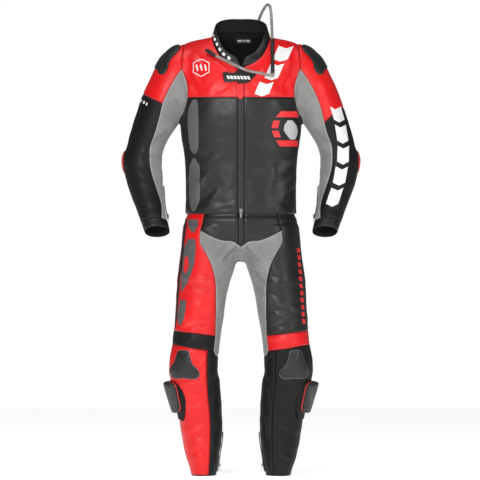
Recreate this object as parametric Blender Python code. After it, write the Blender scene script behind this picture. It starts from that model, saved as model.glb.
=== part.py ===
"""Two-piece motorcycle racing suit, filled out as if worn, in metres.

The origin is the centre of the neck base, +Z up, the front facing -Y. Every panel is a thin shell
on one smooth body form, which is worked out from short tables of sections: a row of the photo for
the height, and half widths and depths for the shape. Seams are curves on that form through a few
key points, and both panels at a seam use the same points.
"""

import bpy
import numpy as np

# Scale and frame
PX = 0.0031
NECK_ROW = 52.0

# Cloth
WALL = 0.0020
COLLAR_WALL = 0.0030
SEAM_GAP = 0.00030
TUCK = 0.0065
HEM_ROW = 214.0
WAIST_ROW = 206.0

# Trunk sections: photo row, half width in photo pixels, front and back depth in mm, roundness
TRUNK = (
    (27.0, 25.5, 43.0, 55.0, 2.0),
    (33.0, 27.0, 46.0, 58.0, 2.0),
    (37.0, 29.5, 50.0, 62.0, 1.9),
    (38.5, 36.0, 54.0, 65.0, 1.7),
    (40.0, 45.0, 57.0, 68.0, 1.6),
    (43.0, 54.5, 62.0, 74.0, 1.6),
    (46.0, 60.0, 68.0, 80.0, 1.7),
    (52.0, 65.0, 79.0, 91.0, 1.8),
    (58.0, 66.0, 88.0, 99.0, 2.0),
    (64.0, 66.0, 97.0, 106.0, 2.1),
    (76.0, 64.0, 110.0, 114.0, 2.2),
    (88.0, 62.5, 119.0, 119.0, 2.3),
    (100.0, 61.5, 124.0, 120.0, 2.4),
    (112.0, 61.0, 125.0, 117.0, 2.4),
    (124.0, 60.5, 123.0, 112.0, 2.4),
    (136.0, 59.5, 119.0, 105.0, 2.4),
    (148.0, 57.8, 115.0, 98.0, 2.4),
    (160.0, 56.2, 111.0, 93.0, 2.4),
    (172.0, 55.5, 109.0, 91.0, 2.4),
    (184.0, 55.2, 108.0, 92.0, 2.4),
    (196.0, 55.2, 108.0, 96.0, 2.4),
    (208.0, 55.4, 108.5, 102.0, 2.4),
    (220.0, 56.2, 109.0, 109.0, 2.3),
    (232.0, 56.6, 107.0, 116.0, 2.2),
    (242.0, 56.0, 98.0, 114.0, 2.2),
    (250.0, 50.0, 78.0, 96.0, 2.1),
    (256.0, 34.0, 46.0, 62.0, 2.0),
    (259.0, 16.0, 18.0, 28.0, 2.0),
    (260.5, 2.0, 3.0, 3.0, 2.0),
)

# Arm sections: photo row, centre and half width in pixels, centre forward and half depth in mm, roundness
ARM = (
    (44.8, 58.0, 1.0, 0.0, 5.0, 2.0),
    (46.0, 58.2, 5.2, 0.0, 18.0, 2.0),
    (48.0, 58.3, 9.6, 0.0, 29.0, 2.0),
    (52.0, 58.3, 14.4, 0.0, 42.0, 2.0),
    (58.0, 60.0, 18.8, -1.0, 55.0, 2.0),
    (64.0, 62.0, 20.7, -2.0, 63.0, 2.1),
    (76.0, 66.3, 23.0, -3.0, 72.0, 2.1),
    (88.0, 71.0, 24.0, -4.0, 76.0, 2.1),
    (100.0, 75.6, 24.0, -5.0, 77.0, 2.1),
    (112.0, 79.8, 23.7, -6.0, 76.0, 2.1),
    (124.0, 84.9, 22.6, -6.0, 74.0, 2.1),
    (136.0, 90.5, 20.6, -5.0, 71.0, 2.1),
    (148.0, 95.2, 18.9, -3.0, 68.0, 2.1),
    (154.0, 97.2, 19.0, -1.0, 67.0, 2.1),
    (160.0, 97.9, 19.3, 2.0, 66.0, 2.1),
    (172.0, 97.0, 19.0, 11.0, 64.0, 2.1),
    (184.0, 95.1, 17.9, 23.0, 60.0, 2.1),
    (196.0, 92.7, 16.3, 37.0, 55.0, 2.1),
    (208.0, 89.7, 14.4, 53.0, 50.0, 2.1),
    (220.0, 86.1, 13.5, 70.0, 46.0, 2.1),
    (232.0, 82.6, 12.9, 88.0, 43.0, 2.1),
    (244.0, 79.0, 12.4, 106.0, 41.0, 2.1),
)

# Leg sections: photo row, outer and inner half distance in pixels, front and back depth in mm, roundness
LEG = (
    (226.0, 55.5, 2.0, 90.0, 96.0, 2.1),
    (238.0, 58.0, 2.2, 98.0, 110.0, 2.1),
    (250.0, 59.6, 2.6, 99.0, 112.0, 2.1),
    (262.0, 61.0, 4.5, 98.0, 105.0, 2.1),
    (274.0, 62.5, 8.0, 97.0, 98.0, 2.1),
    (286.0, 63.6, 11.5, 96.0, 92.0, 2.1),
    (298.0, 64.3, 14.0, 95.0, 87.0, 2.1),
    (310.0, 65.1, 15.8, 94.0, 82.0, 2.1),
    (322.0, 66.0, 17.6, 92.0, 77.0, 2.1),
    (334.0, 67.0, 19.8, 90.0, 72.0, 2.1),
    (346.0, 68.4, 21.2, 89.0, 69.0, 2.1),
    (358.0, 70.7, 22.4, 89.0, 67.0, 2.1),
    (370.0, 71.3, 22.5, 87.0, 66.0, 2.1),
    (382.0, 69.4, 20.6, 82.0, 67.0, 2.1),
    (394.0, 66.6, 19.5, 76.0, 71.0, 2.1),
    (406.0, 64.0, 18.6, 70.0, 76.0, 2.1),
    (418.0, 61.6, 18.2, 65.0, 80.0, 2.1),
    (430.0, 60.0, 18.1, 61.0, 81.0, 2.1),
    (442.0, 58.0, 19.0, 58.0, 78.0, 2.1),
    (454.0, 55.2, 20.9, 55.0, 72.0, 2.1),
    (466.0, 51.8, 22.6, 53.0, 64.0, 2.1),
    (478.0, 48.0, 25.0, 52.0, 57.0, 2.1),
)

# Width of the smooth blend where an arm joins the trunk, by photo row, in mm
ARMHOLE_BLEND = ((40.0, 6.0), (60.0, 16.0), (90.0, 26.0), (115.0, 22.0), (135.0, 10.0), (150.0, 4.0))
CROTCH_BLEND = 0.022
CENTRE_BLEND = 0.006

# Largest folds: side (1 left, -1 right, 0 both), y limits of the side they lie on in mm,
# the two ends in pixels from the middle and rows, half width in pixels, height in mm
FOLDS = (
    (0, -300, -20, 54, 82, 50, 104, 3.0, 3.5),
    (0, -300, -20, 62, 96, 59, 114, 3.0, -3.5),
    (0, -300, 0, 50, 54, 45, 66, 4.0, 2.5),
    (0, 10, 300, 60, 60, 56, 96, 4.0, -3.0),
    (0, -300, 60, 80, 144, 92, 150, 3.5, -4.0),
    (0, -300, 60, 80, 152, 94, 160, 3.5, 3.5),
    (0, -300, 60, 79, 166, 90, 168, 3.5, -3.5),
    (0, -300, -20, 34, 176, 48, 190, 5.0, 3.0),
    (0, -300, -20, 30, 192, 46, 206, 4.5, -3.0),
    (0, 20, 300, 8, 186, 44, 198, 5.0, 3.5),
    (0, 20, 300, 10, 200, 46, 206, 4.5, -3.0),
    (0, -300, -20, 5, 246, 26, 262, 3.5, 3.5),
    (0, -300, -20, 12, 262, 32, 274, 4.0, -3.0),
    (0, -300, 40, 27, 284, 62, 279, 4.5, 3.0),
    (0, -300, 40, 28, 322, 62, 325, 4.0, -3.0),
    (0, 10, 300, 26, 352, 62, 356, 4.0, -4.0),
    (0, 10, 300, 24, 366, 62, 368, 4.5, 4.0),
    (0, 10, 300, 24, 378, 60, 382, 4.0, -3.5),
    (0, -300, 0, 36, 394, 58, 386, 4.0, 3.5),
    (0, -300, 0, 36, 430, 56, 440, 4.5, -3.0),
    (0, -300, 20, 32, 458, 52, 456, 3.0, 2.5),
    (0, -300, 20, 32, 466, 50, 467, 3.0, -2.5),
)

# Seam key points on the wearer's left. A key is how it is found, and two numbers: front and back are
# pixels from the middle and a photo row; arm, leg and trunk are an angle round the limb from its
# outer side over its front, and a row; at has a third number, the depth in mm where the search starts
NECK_C = ("front", 2.9, 68.0)
NECK_S = ("at", 29.0, 37.0, 0.0)
NECK_B = ("back", 0.0, 30.0)
SHOULDER = ("at", 57.0, 43.8, 0.0)
APEX_F = ("front", 59.0, 69.5)
APEX_B = ("back", 59.0, 69.5)
CHEST_C = ("front", 2.9, 98.3)
CHEST_S = ("front", 53.5, 98.3)
BACK_S = ("back", 54.5, 98.3)
ARMPIT = ("at", 62.0, 121.5, 0.0)
HEM_C = ("front", 2.9, HEM_ROW)
HEM_S = ("trunk", 0.0, HEM_ROW)
HEM_B = ("back", 0.0, HEM_ROW)
CUFF_F = ("arm", 126.0, 218.0)
CUFF_B = ("arm", 234.0, 228.0)
WAIST_C = ("front", 2.5, WAIST_ROW)
WAIST_F = ("front", 37.5, WAIST_ROW)
WAIST_S = ("trunk", 0.0, WAIST_ROW)
WAIST_B = ("back", 0.0, WAIST_ROW)
HIP_F = ("front", 40.5, 230.4)
FLY_END = ("front", 2.5, 245.3)
FLY_TIP = ("front", 0.0, 246.3)
CROTCH = ("at", 0.0, 256.5, 46.0)
SEAT_END = ("back", 38.0, 272.0)
KNEE_F = ("front", 25.3, 335.5)
KNEE_B = ("back", 39.0, 329.5)
BAND_F = ("front", 27.0, 350.5)
BAND_S = ("front", 33.0, 349.8)
BAND_B = ("back", 39.0, 343.0)
ANKLE_F = ("front", 32.0, 475.0)
ANKLE_B = ("back", 37.0, 475.0)

# Seams shared by both sides: name, number of steps, key points
SEAMS = (
    ("neck_front", 5, (NECK_C, ("front", 12, 64), ("front", 20, 58), ("front", 26, 48), NECK_S)),
    ("neck_back", 4, (NECK_S, ("back", 27, 33.5), ("back", 15, 30.8), NECK_B)),
    ("shoulder", 4, (NECK_S, ("at", 36, 38.4, 2), ("at", 46, 40.3, 2), SHOULDER)),
    ("armhole_f1", 4, (SHOULDER, ("front", 57.5, 50), ("front", 58.8, 60), APEX_F)),
    ("armhole_f2", 3, (APEX_F, ("front", 55, 80), ("front", 53.3, 90), CHEST_S)),
    ("armhole_f3", 2, (CHEST_S, ("front", 56.5, 110), ARMPIT)),
    ("armhole_b1", 4, (SHOULDER, ("back", 57.5, 50), ("back", 58.8, 60), APEX_B)),
    ("armhole_b2", 3, (APEX_B, ("back", 56.5, 80), ("back", 54.5, 90), BACK_S)),
    ("armhole_b3", 2, (BACK_S, ("back", 57, 110), ARMPIT)),
    ("centre_yoke", 7, (NECK_C, ("front", 2.9, 83), CHEST_C)),
    ("chest", 9, (CHEST_C, ("front", 28, 98.3), CHEST_S)),
    ("back_chest", 8, (("back", 0, 98.3), ("back", 28, 98.3), BACK_S)),
    ("centre_low", 11, (CHEST_C, ("front", 2.9, 156), HEM_C)),
    ("side", 9, (ARMPIT, ("trunk", 0, 140), ("trunk", 0, 175), HEM_S)),
    ("hem_front", 9, (HEM_C, ("front", 26, HEM_ROW), ("trunk", 45, HEM_ROW), HEM_S)),
    ("hem_back", 8, (HEM_B, ("back", 26, HEM_ROW), ("trunk", -45, HEM_ROW), HEM_S)),
    ("cuff_out", 8, (CUFF_F, ("arm", 90, 217.8), ("arm", 45, 220), ("arm", 0, 223.5), ("arm", -45, 227.5),
                     ("arm", -90, 229.5), CUFF_B)),
    ("cuff_in", 10, (CUFF_F, ("arm", 150, 219.3), ("arm", 180, 221.8), ("arm", 210, 225.5), CUFF_B)),
    ("waist_front", 4, (WAIST_C, ("front", 20, WAIST_ROW), WAIST_F)),
    ("waist_side", 8, (WAIST_F, ("trunk", 35, WAIST_ROW), WAIST_S)),
    ("waist_back", 5, (WAIST_B, ("back", 26, WAIST_ROW), ("trunk", -45, WAIST_ROW), WAIST_S)),
    ("fly_side", 5, (WAIST_C, ("front", 2.5, 225), FLY_END)),
    ("waist_edge", 5, (WAIST_F, ("front", 37.8, 216), HIP_F)),
    ("crotch_front", 4, (FLY_END, ("front", 6.4, 242.2), ("front", 18.3, 240.4), ("front", 26, 237.8), HIP_F)),
    ("fly_foot", 1, (FLY_END, FLY_TIP)),
    ("crotch_under", 3, (FLY_TIP, ("at", 0, 258, -20), CROTCH)),
    ("seat_foot", 5, (CROTCH, ("back", 12, 267), ("back", 25, 271.5), SEAT_END)),
    ("hip_side", 5, (WAIST_S, ("trunk", -8, 226), ("leg", -34, 248), SEAT_END)),
    ("thigh_front", 9, (HIP_F, ("front", 41, 242.3), ("front", 35, 253), ("front", 28.5, 267.2),
                        ("front", 25.3, 281.3), ("front", 24.8, 308.5), KNEE_F)),
    ("thigh_back", 9, (SEAT_END, ("back", 37, 300), KNEE_B)),
    ("knee_top", 8, (KNEE_F, ("front", 45, 333), ("front", 60, 331.3), ("leg", 0, 330.3), ("leg", -45, 329.6),
                     KNEE_B)),
    ("band_front", 2, (KNEE_F, BAND_F)),
    ("band_back", 2, (KNEE_B, BAND_B)),
    ("band_step", 1, (BAND_F, BAND_S)),
    ("band_foot", 7, (BAND_S, ("front", 48, 347.6), ("front", 60, 345.4), ("leg", 0, 344), ("leg", -45, 343.3),
                      BAND_B)),
    ("knee_inner", 13, (BAND_F, ("leg", 150, 354), ("leg", 180, 356), ("leg", 210, 353), BAND_B)),
    ("calf_front", 10, (BAND_S, ("front", 33.6, 363), ("front", 33, 391.4), ("front", 31, 411.8),
                        ("front", 31, 452.7), ANKLE_F)),
    ("calf_back", 10, (BAND_B, ("back", 39, 400), ("back", 38, 440), ANKLE_B)),
    ("ankle_out", 7, (ANKLE_F, ("leg", 45, 475), ("leg", 0, 475), ("leg", -45, 475), ANKLE_B)),
    ("ankle_in", 14, (ANKLE_F, ("leg", 140, 475), ("leg", 180, 475), ("leg", 220, 475), ANKLE_B)),
)

# Edge of the stretch sleeve panel, and the seam between the two colours of the sleeve, which sits
# lower on the wearer's left
STRETCH_EDGE = ((65.0, 78.0), (70.6, 87.5), (75.3, 97.0), (79.0, 106.5), (82.0, 120.0), (86.0, 134.0),
                (90.3, 146.0), (91.0, 157.0), (88.5, 175.0), (83.5, 190.0), (79.0, 205.0))
SLEEVE_SPLIT = {"_r": ((78.3, 104.2), (88.0, 99.5), 94.5, (88.0, 100.5), (78.3, 106.0)),
                "_l": ((83.0, 122.9), (91.5, 115.0), 107.5, (92.0, 116.0), (83.0, 122.9))}
UPPER_STEPS = 5
LOWER_STEPS = 9

# Collar rim from the front to the side and from the side to the back: pixels from the middle, row, depth in mm
RIM_FRONT = ((3.0, 60.0, -94.0), (7.0, 57.0, -91.0), (13.0, 53.6, -81.0), (19.0, 46.5, -66.0), (23.2, 37.0, -46.0),
             (25.8, 30.0, -22.0))
RIM_BACK = ((25.8, 30.0, -22.0), (25.6, 25.0, 4.0), (21.0, 21.0, 31.0), (12.0, 18.8, 47.0), (0.0, 18.6, 52.0))
COLLAR_BULGE = 0.0022

# Row of the cuff's open edge: middle, tilt from front to back, tilt from outer to inner side
CUFF_EDGE = (231.6, -5.6, 1.0)

# Plates on the panels: outline keys, centre key, points round, rings, lift, height at the edge and more
# height at the centre in mm
SHOULDER_CUP = ((("front", 60.5, 48.6), ("front", 63.8, 53.4), ("front", 68.4, 58.4), ("front", 71.6, 64.2),
                 ("front", 72.9, 70.0), ("front", 76.4, 74.8), ("front", 80.4, 75.2), ("front", 82.6, 71.6),
                 ("arm", 0.0, 68.5), ("back", 82.6, 71.6), ("back", 80.4, 75.2), ("back", 76.4, 74.8),
                 ("back", 72.9, 70.0), ("back", 71.6, 64.2), ("back", 68.4, 58.4), ("back", 63.8, 53.4),
                 ("back", 60.5, 48.6), ("at", 62.0, 45.5, 0.0)),
                ("at", 79.0, 60.0, 0.0), 30, 3, 2.0, 3.8, 1.6)
ELBOW_CUP = ((("arm", 16.0, 161.0), ("arm", 8.0, 155.0), ("arm", -22.0, 150.5), ("arm", -54.0, 154.0),
              ("arm", -62.0, 162.0), ("arm", -52.0, 170.5), ("arm", -22.0, 173.5), ("arm", 8.0, 167.5)),
             ("arm", -22.0, 162.0), 18, 3, 1.0, 3.0, 3.0)
KNEE_CUP = ((("front", 51.8, 350.8), ("front", 57.0, 350.0), ("front", 61.6, 350.8), ("front", 63.6, 356.0),
             ("front", 65.8, 362.5), ("front", 69.0, 367.4), ("front", 69.8, 371.5), ("front", 68.0, 375.6),
             ("front", 63.0, 377.6), ("front", 56.0, 377.2), ("front", 49.0, 378.0), ("front", 43.2, 377.2),
             ("front", 40.8, 373.0), ("front", 43.4, 368.4), ("front", 47.6, 364.0), ("front", 50.4, 356.0)),
            ("front", 55.5, 367.0), 26, 3, 1.3, 3.6, 2.6)
KNEE_SHIFT = {"_r": 0.6, "_l": -2.4}
SLIDER_PANEL = ((("front", 64.5, 382.5), ("front", 60.0, 387.0), ("front", 56.0, 395.0), ("front", 55.0, 410.0),
                 ("front", 57.5, 420.5), ("leg", 22.0, 419.0), ("leg", -12.0, 418.0), ("leg", -40.0, 412.0),
                 ("leg", -48.0, 399.0), ("leg", -40.0, 386.0), ("leg", -12.0, 381.0), ("leg", 18.0, 380.0)),
                ("leg", 4.0, 400.0), 22, 3, 1.6, 2.9, 0.0)
SLIDER = ((("leg", 38.0, 383.0), ("leg", 41.0, 396.0), ("leg", 38.0, 409.0), ("leg", 8.0, 412.0),
           ("leg", -22.0, 409.0), ("leg", -25.0, 396.0), ("leg", -22.0, 383.0), ("leg", 8.0, 380.0)),
          ("leg", 8.0, 396.0), 20, 2)
SLIDER_BASE_MM = (4.0, 8.0)
PUCK_MM = (8.4, 24.0, 17.0, 2.5)
CHEST_TAB = ((("front", -18.0, 74.2), ("front", -17.6, 78.0), ("front", -17.0, 82.2), ("front", -5.0, 83.0),
              ("front", 7.2, 83.8), ("front", 11.6, 79.8), ("front", 15.1, 75.6), ("front", 6.0, 73.6),
              ("front", -3.5, 71.9), ("front", -6.4, 74.0)),
             ("front", -2.0, 78.5), 24, 2, 2.45, 4.05, 0.0)
ZIP_COVER = ((("front", -4.4, 85.0), ("front", -1.0, 85.0), ("front", 2.5, 85.0), ("front", 2.6, 91.0),
              ("front", 2.6, 97.0), ("front", 0.0, 100.4), ("front", -4.2, 97.6), ("front", -4.3, 91.0)),
             ("front", -0.9, 92.0), 16, 2, 2.50, 4.10, 0.0)
HUMP = ((("back", 0.0, 43.0), ("back", 11.0, 46.0), ("back", 17.0, 57.0), ("back", 17.5, 76.0),
         ("back", 14.0, 95.0), ("back", 7.0, 109.0), ("back", 0.0, 112.0)),
        ("back", 0.0, 70.0), 22, 4, 0.55, 3.4, 32.0)
HUMP_WALL = 3.0

# Zips: the tape, the teeth's ridge and the slider, in metres
ZIP_RIDGE = 0.0012
STRIP_HALF = 0.0060
STRIP_LIFT = 0.0010
STRIP_TOP = 0.0020
SLIDER_HALF = (0.0042, 0.0060)
SLIDER_DEPTH = 0.0022
ARCH = ((-5.2, -0.5), (-4.2, -0.5), (-4.2, 2.1), (4.2, 2.1), (4.2, -0.5), (5.2, -0.5), (5.2, 3.1), (-5.2, 3.1))
ARCH_HALF = 0.8
PULL_AXIS = 0.00105
PULL_HALF = 0.6
PULL_OUTER = ((-3.2, -0.6), (3.2, -0.6), (3.2, 8.0), (2.6, 20.0), (1.6, 22.0), (-1.6, 22.0), (-2.6, 20.0), (-3.2, 8.0))
PULL_INNER = ((-1.5, 0.6), (1.5, 0.6), (1.5, 4.0), (1.5, 7.5), (0.8, 7.5), (-0.8, 7.5), (-1.5, 7.5), (-1.5, 4.0))
MAIN_SLIDER_ROW = 211.0
CUFF_ZIP = ((186.0, 186.0), (186.0, 203.0), (186.0, 218.5), 216.0)
ANKLE_ZIP = ((176.0, 432.0), (176.0, 452.0), (176.0, 471.5), 464.0)

# Drink hose: routes as pixels from the middle, row and depth in mm, and the tubes' radii in mm
HOSE_ROUTE = ((7.33, 50.87, 119.2), (8.2, 48.6, 128.5), (10.2, 42.5, 130.5), (13.9, 31.0, 112.0),
              (17.6, 19.8, 82.0), (22.0, 9.8, 54.0), (26.3, 4.4, 27.0), (28.7, 6.0, 4.0), (30.0, 13.0, -14.0), (30.5, 22.3, -28.0), (30.9, 31.0, -37.5),
              (31.0, 37.9, -47.5), (31.0, 40.08, -51.4))
SLEEVE_ROUTE = ((31.0, 40.2, -51.6, 5.6), (31.1, 46.0, -62.0, 5.6), (31.2, 52.0, -74.5, 5.6), (31.3, 55.2, -80.0, 5.6),
                (31.3, 56.4, -82.0, 4.7), (31.3, 60.0, -88.0, 4.7), (31.3, 61.2, -89.8, 5.6), (31.3, 68.0, -98.5, 5.6),
                (31.3, 74.4, -105.8, 5.6))
ELBOW_ROUTE = ((31.3, 74.53, -105.95), (31.2, 76.0, -107.6), (30.4, 76.8, -109.3), (29.0, 76.68, -111.1),
               (27.0, 76.2, -112.2))
MOUTH_ROUTE = ((26.87, 76.17, -112.3), (19.0, 74.3, -116.5), (12.8, 73.3, -118.5), (6.0, 71.6, -119.0),
               (0.0, 69.2, -117.0), (-6.0, 66.4, -112.5), (-12.7, 63.1, -106.0), (-19.0, 59.9, -98.5),
               (-25.2, 56.9, -91.0))
VALVE_ROUTE = ((-25.32, 56.84, -90.85, 4.6), (-26.7, 56.2, -89.2, 6.2), (-30.0, 54.0, -84.5, 6.2), (-33.0, 52.0, -79.0, 6.2),
               (-34.8, 50.8, -76.0, 4.5))
HOSE_RADIUS = 4.5

# Colours for the CAD views
RED = (0.80, 0.03, 0.03)
BLACK = (0.03, 0.03, 0.03)
STRETCH = (0.25, 0.25, 0.24)
METAL = (0.55, 0.55, 0.56)
CLEAR = (0.60, 0.59, 0.56)


def table_lookup(table):
    """A smooth curve through each column of the table, read at every quarter row."""
    data = np.array(table, float)
    x = data[:, 0]
    y = data[:, 1:]
    step = np.diff(x)[:, None]
    rise = np.diff(y, axis=0) / step
    slope = np.zeros_like(y)
    both = rise[:-1] * rise[1:] > 0
    slope[1:-1] = np.where(both, 2 * rise[:-1] * rise[1:] / np.where(both, rise[:-1] + rise[1:], 1.0), 0.0)
    slope[0] = rise[0]
    slope[-1] = rise[-1]
    rows = np.arange(x[0], x[-1] + 0.01, 0.25)
    i = np.clip(np.searchsorted(x, rows, side="right") - 1, 0, len(x) - 2)
    t = ((rows - x[i]) / (x[i + 1] - x[i]))[:, None]
    h = step[i]
    value = (y[i] * (1 + 2 * t) * (1 - t) ** 2 + slope[i] * h * t * (1 - t) ** 2
             + y[i + 1] * t * t * (3 - 2 * t) + slope[i + 1] * h * t * t * (t - 1))
    return rows, value


TRUNK_AT = table_lookup(TRUNK)
ARM_AT = table_lookup(ARM)
LEG_AT = table_lookup(LEG)


def read(lookup, rows):
    """The columns of a looked-up table at these rows."""
    at, values = lookup
    return [np.interp(rows, at, values[:, i]) for i in range(values.shape[1])]


def trunk_section(rows):
    """Centre x and y, half width and half depth in metres, and roundness."""
    half, front, back, roundness = read(TRUNK_AT, rows)
    return 0 * half, (back - front) / 2000, half * PX, (front + back) / 2000, roundness


def arm_section(rows):
    centre, half, forward, depth, roundness = read(ARM_AT, rows)
    return centre * PX, -forward / 1000, half * PX, depth / 1000, roundness


def leg_section(rows):
    outer, inner, front, back, roundness = read(LEG_AT, rows)
    return (outer + inner) / 2 * PX, (back - front) / 2000, (outer - inner) / 2 * PX, (front + back) / 2000, roundness


SECTIONS = {"trunk": trunk_section, "arm": arm_section, "leg": leg_section}


def tube_distance(x, y, section):
    """Distance, nearly, from a rounded section in its own plane; negative inside."""
    cx, cy, a, b, n = section
    p = np.abs(x - cx) / a
    q = np.abs(y - cy) / b
    rho = np.maximum((p**n + q**n) ** (1 / n), 1e-4)
    slope = np.sqrt((p ** (n - 1) / a) ** 2 + (q ** (n - 1) / b) ** 2) * rho ** (1 - n)
    return (rho - 1) / np.maximum(slope, 1.0)


def merge(f, g, width):
    """The union of two forms with a smooth blend of this width."""
    h = np.clip(0.5 + 0.5 * (g - f) / width, 0, 1)
    return g * (1 - h) + f * h - width * h * (1 - h)


def fold_height(x, y, rows):
    """How far the folds push the cloth out at these points."""
    total = np.zeros_like(x)
    for side, y0, y1, h0, r0, h1, r1, width, height in FOLDS:
        across = np.abs(x) / PX
        dx = h1 - h0
        dr = r1 - r0
        t = np.clip(((across - h0) * dx + (rows - r0) * dr) / (dx * dx + dr * dr), 0, 1)
        apart = np.hypot(across - h0 - t * dx, rows - r0 - t * dr)
        inside = 1 / (1 + np.exp(-np.clip((y * 1000 - y0) / 6, -30, 30)))
        inside = inside / (1 + np.exp(np.clip((y * 1000 - y1) / 6, -30, 30)))
        if side:
            inside = inside * (x * side > 0)
        total += height / 1000 * inside * np.exp(-((apart / width) ** 2)) * np.sin(np.pi * np.clip(t, 0.1, 0.9))
    return total


def form(points):
    """Negative inside the suit's outer surface, in metres near it."""
    x, y, z = points[..., 0], points[..., 1], points[..., 2]
    rows = NECK_ROW - z / PX
    side = np.sqrt(x * x + CENTRE_BLEND**2) - CENTRE_BLEND / 3
    trunk = tube_distance(x, y, trunk_section(rows)) + np.maximum(rows - TRUNK[-1][0], 0) * PX
    past_end = np.maximum(ARM[0][0] - rows, 0) + 3 * np.maximum(rows - ARM[-1][0], 0)
    arm = tube_distance(side, y, arm_section(rows)) + past_end * PX
    leg = tube_distance(side, y, leg_section(rows)) + np.maximum(LEG[0][0] - rows, 0) * PX * 1.5
    blend = np.interp(rows, [r for r, _ in ARMHOLE_BLEND], [w / 1000 for _, w in ARMHOLE_BLEND])
    body = merge(trunk, arm, blend)
    return merge(body, leg, CROTCH_BLEND) - fold_height(x, y, rows)


def gradient(points):
    step = 0.0004
    parts = []
    for axis in range(3):
        move = np.zeros(3)
        move[axis] = step
        parts.append((form(points + move) - form(points - move)) / (2 * step))
    return np.stack(parts, axis=-1)


def settle(points, rounds=8):
    """Moves points onto the form along its own slope."""
    points = np.array(points, float)
    for _ in range(rounds):
        slope = gradient(points)
        size = np.maximum((slope**2).sum(-1, keepdims=True), 0.05)
        move = -form(points)[..., None] * slope / size
        length = np.maximum(np.linalg.norm(move, axis=-1, keepdims=True), 1e-12)
        points += move * np.minimum(1, 0.012 / length)
    return points


def normals(points):
    slope = gradient(points)
    return slope / np.maximum(np.linalg.norm(slope, axis=-1, keepdims=True), 1e-9)


def height_of(row):
    return (NECK_ROW - row) * PX


def key_point(key):
    """The point on the form that a key names."""
    kind, first, row = key[:3]
    z = height_of(row)
    if kind in SECTIONS:
        cx, cy, a, b, _ = [float(v) for v in SECTIONS[kind](float(row))]
        turn = np.radians(first)
        start = np.array([cx + a * np.cos(turn), cy - b * np.sin(turn), z])
        return settle(start[None])[0]
    x = first * PX
    if kind == "at":
        point = settle(np.array([[x, key[3] / 1000, z]]))[0]
        return point * (x != 0, 1, 1)
    way = 1 if kind == "front" else -1
    depth = np.linspace(-0.26, 0.26, 521) * way
    line = np.stack([np.full_like(depth, x), depth, np.full_like(depth, z)], axis=-1)
    value = form(line)
    first_in = int(np.argmax(value < 0))
    low, high = depth[first_in - 1], depth[first_in]
    for _ in range(30):
        mid = (low + high) / 2
        if form(np.array([x, mid, z])) < 0:
            high = mid
        else:
            low = mid
    return np.array([x, high, z])


def smooth_line(points, steps, on_form=True, loop=0):
    """A smooth curve through the points, cut into steps of equal length.

    With loop the points overlap by three at the ends, and the curve is cut to one closed round.
    """
    points = np.array(points, float)
    if len(points) > 2 or on_form:
        gaps = np.linalg.norm(np.diff(points, axis=0), axis=1)
        at = np.concatenate([[0], np.cumsum(gaps)])
        slope = np.empty_like(points)
        rise = np.diff(points, axis=0) / gaps[:, None]
        slope[0] = rise[0]
        slope[-1] = rise[-1]
        for i in range(1, len(points) - 1):
            slope[i] = (rise[i - 1] * gaps[i] + rise[i] * gaps[i - 1]) / (gaps[i - 1] + gaps[i])
        dense = []
        for i, gap in enumerate(gaps):
            t = np.linspace(0, 1, 17)[:-1, None]
            dense.append(points[i] * (1 + 2 * t) * (1 - t) ** 2 + slope[i] * gap * t * (1 - t) ** 2
                         + points[i + 1] * t * t * (3 - 2 * t) + slope[i + 1] * gap * t * t * (t - 1))
        if loop:
            dense = dense[2:-1]
            line = np.concatenate(dense)
            line = np.concatenate([line, line[:1]])
            steps = loop
        else:
            line = np.concatenate(dense + [points[-1:]])
    else:
        line = points
    if on_form:
        line[1:-1] = settle(line[1:-1])
    length = np.concatenate([[0], np.cumsum(np.linalg.norm(np.diff(line, axis=0), axis=1))])
    goal = np.linspace(0, length[-1], steps + 1)
    found = np.stack([np.interp(goal, length, line[:, i]) for i in range(3)], axis=1)
    if on_form and steps > 1:
        found[1:-1] = settle(found[1:-1])
    return found[:-1] if loop else found


def join(*parts):
    """One edge from seams that meet end to end."""
    return np.concatenate([parts[0]] + [part[1:] for part in parts[1:]])


def mirrored(points):
    return points * (-1, 1, 1)


def patch(top, bottom, left, right, on_form=True):
    """A grid of points between four edges: a blend of the edges, settled on the form."""
    nu, nv = len(top), len(left)
    u = np.linspace(0, 1, nu)[None, :, None]
    v = np.linspace(0, 1, nv)[:, None, None]
    grid = ((1 - v) * top[None] + v * bottom[None] + (1 - u) * left[:, None] + u * right[:, None]
            - (1 - u) * (1 - v) * top[0] - u * (1 - v) * top[-1] - (1 - u) * v * bottom[0] - u * v * bottom[-1])
    if on_form:
        grid[1:-1, 1:-1] = settle(grid[1:-1, 1:-1], 10)
    return grid


def inset(grid, normal, gap, closed=False):
    """Moves the grid's edges into the panel by this much, along the surface."""
    moved = grid.copy()
    edges = [(grid[0], grid[1], (0, slice(None))), (grid[-1], grid[-2], (-1, slice(None)))]
    if not closed:
        edges += [(grid[:, 0], grid[:, 1], (slice(None), 0)), (grid[:, -1], grid[:, -2], (slice(None), -1))]
    for edge, inner, where in edges:
        along = np.gradient(edge, axis=0)
        along /= np.maximum(np.linalg.norm(along, axis=-1, keepdims=True), 1e-12)
        way = inner - edge
        way -= (way * along).sum(-1, keepdims=True) * along
        way -= (way * normal[where]).sum(-1, keepdims=True) * normal[where]
        way /= np.maximum(np.linalg.norm(way, axis=-1, keepdims=True), 1e-12)
        moved[where] += way * gap
    return moved


def tuck(points, normal):
    """The trousers' waist goes inside the jacket's hem."""
    rows = NECK_ROW - points[..., 2] / PX
    t = np.clip((rows - HEM_ROW - 0.5) / 6.0, 0, 1)
    depth = TUCK * (1 - t * t * (3 - 2 * t))
    return points - normal * depth[..., None]


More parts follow.
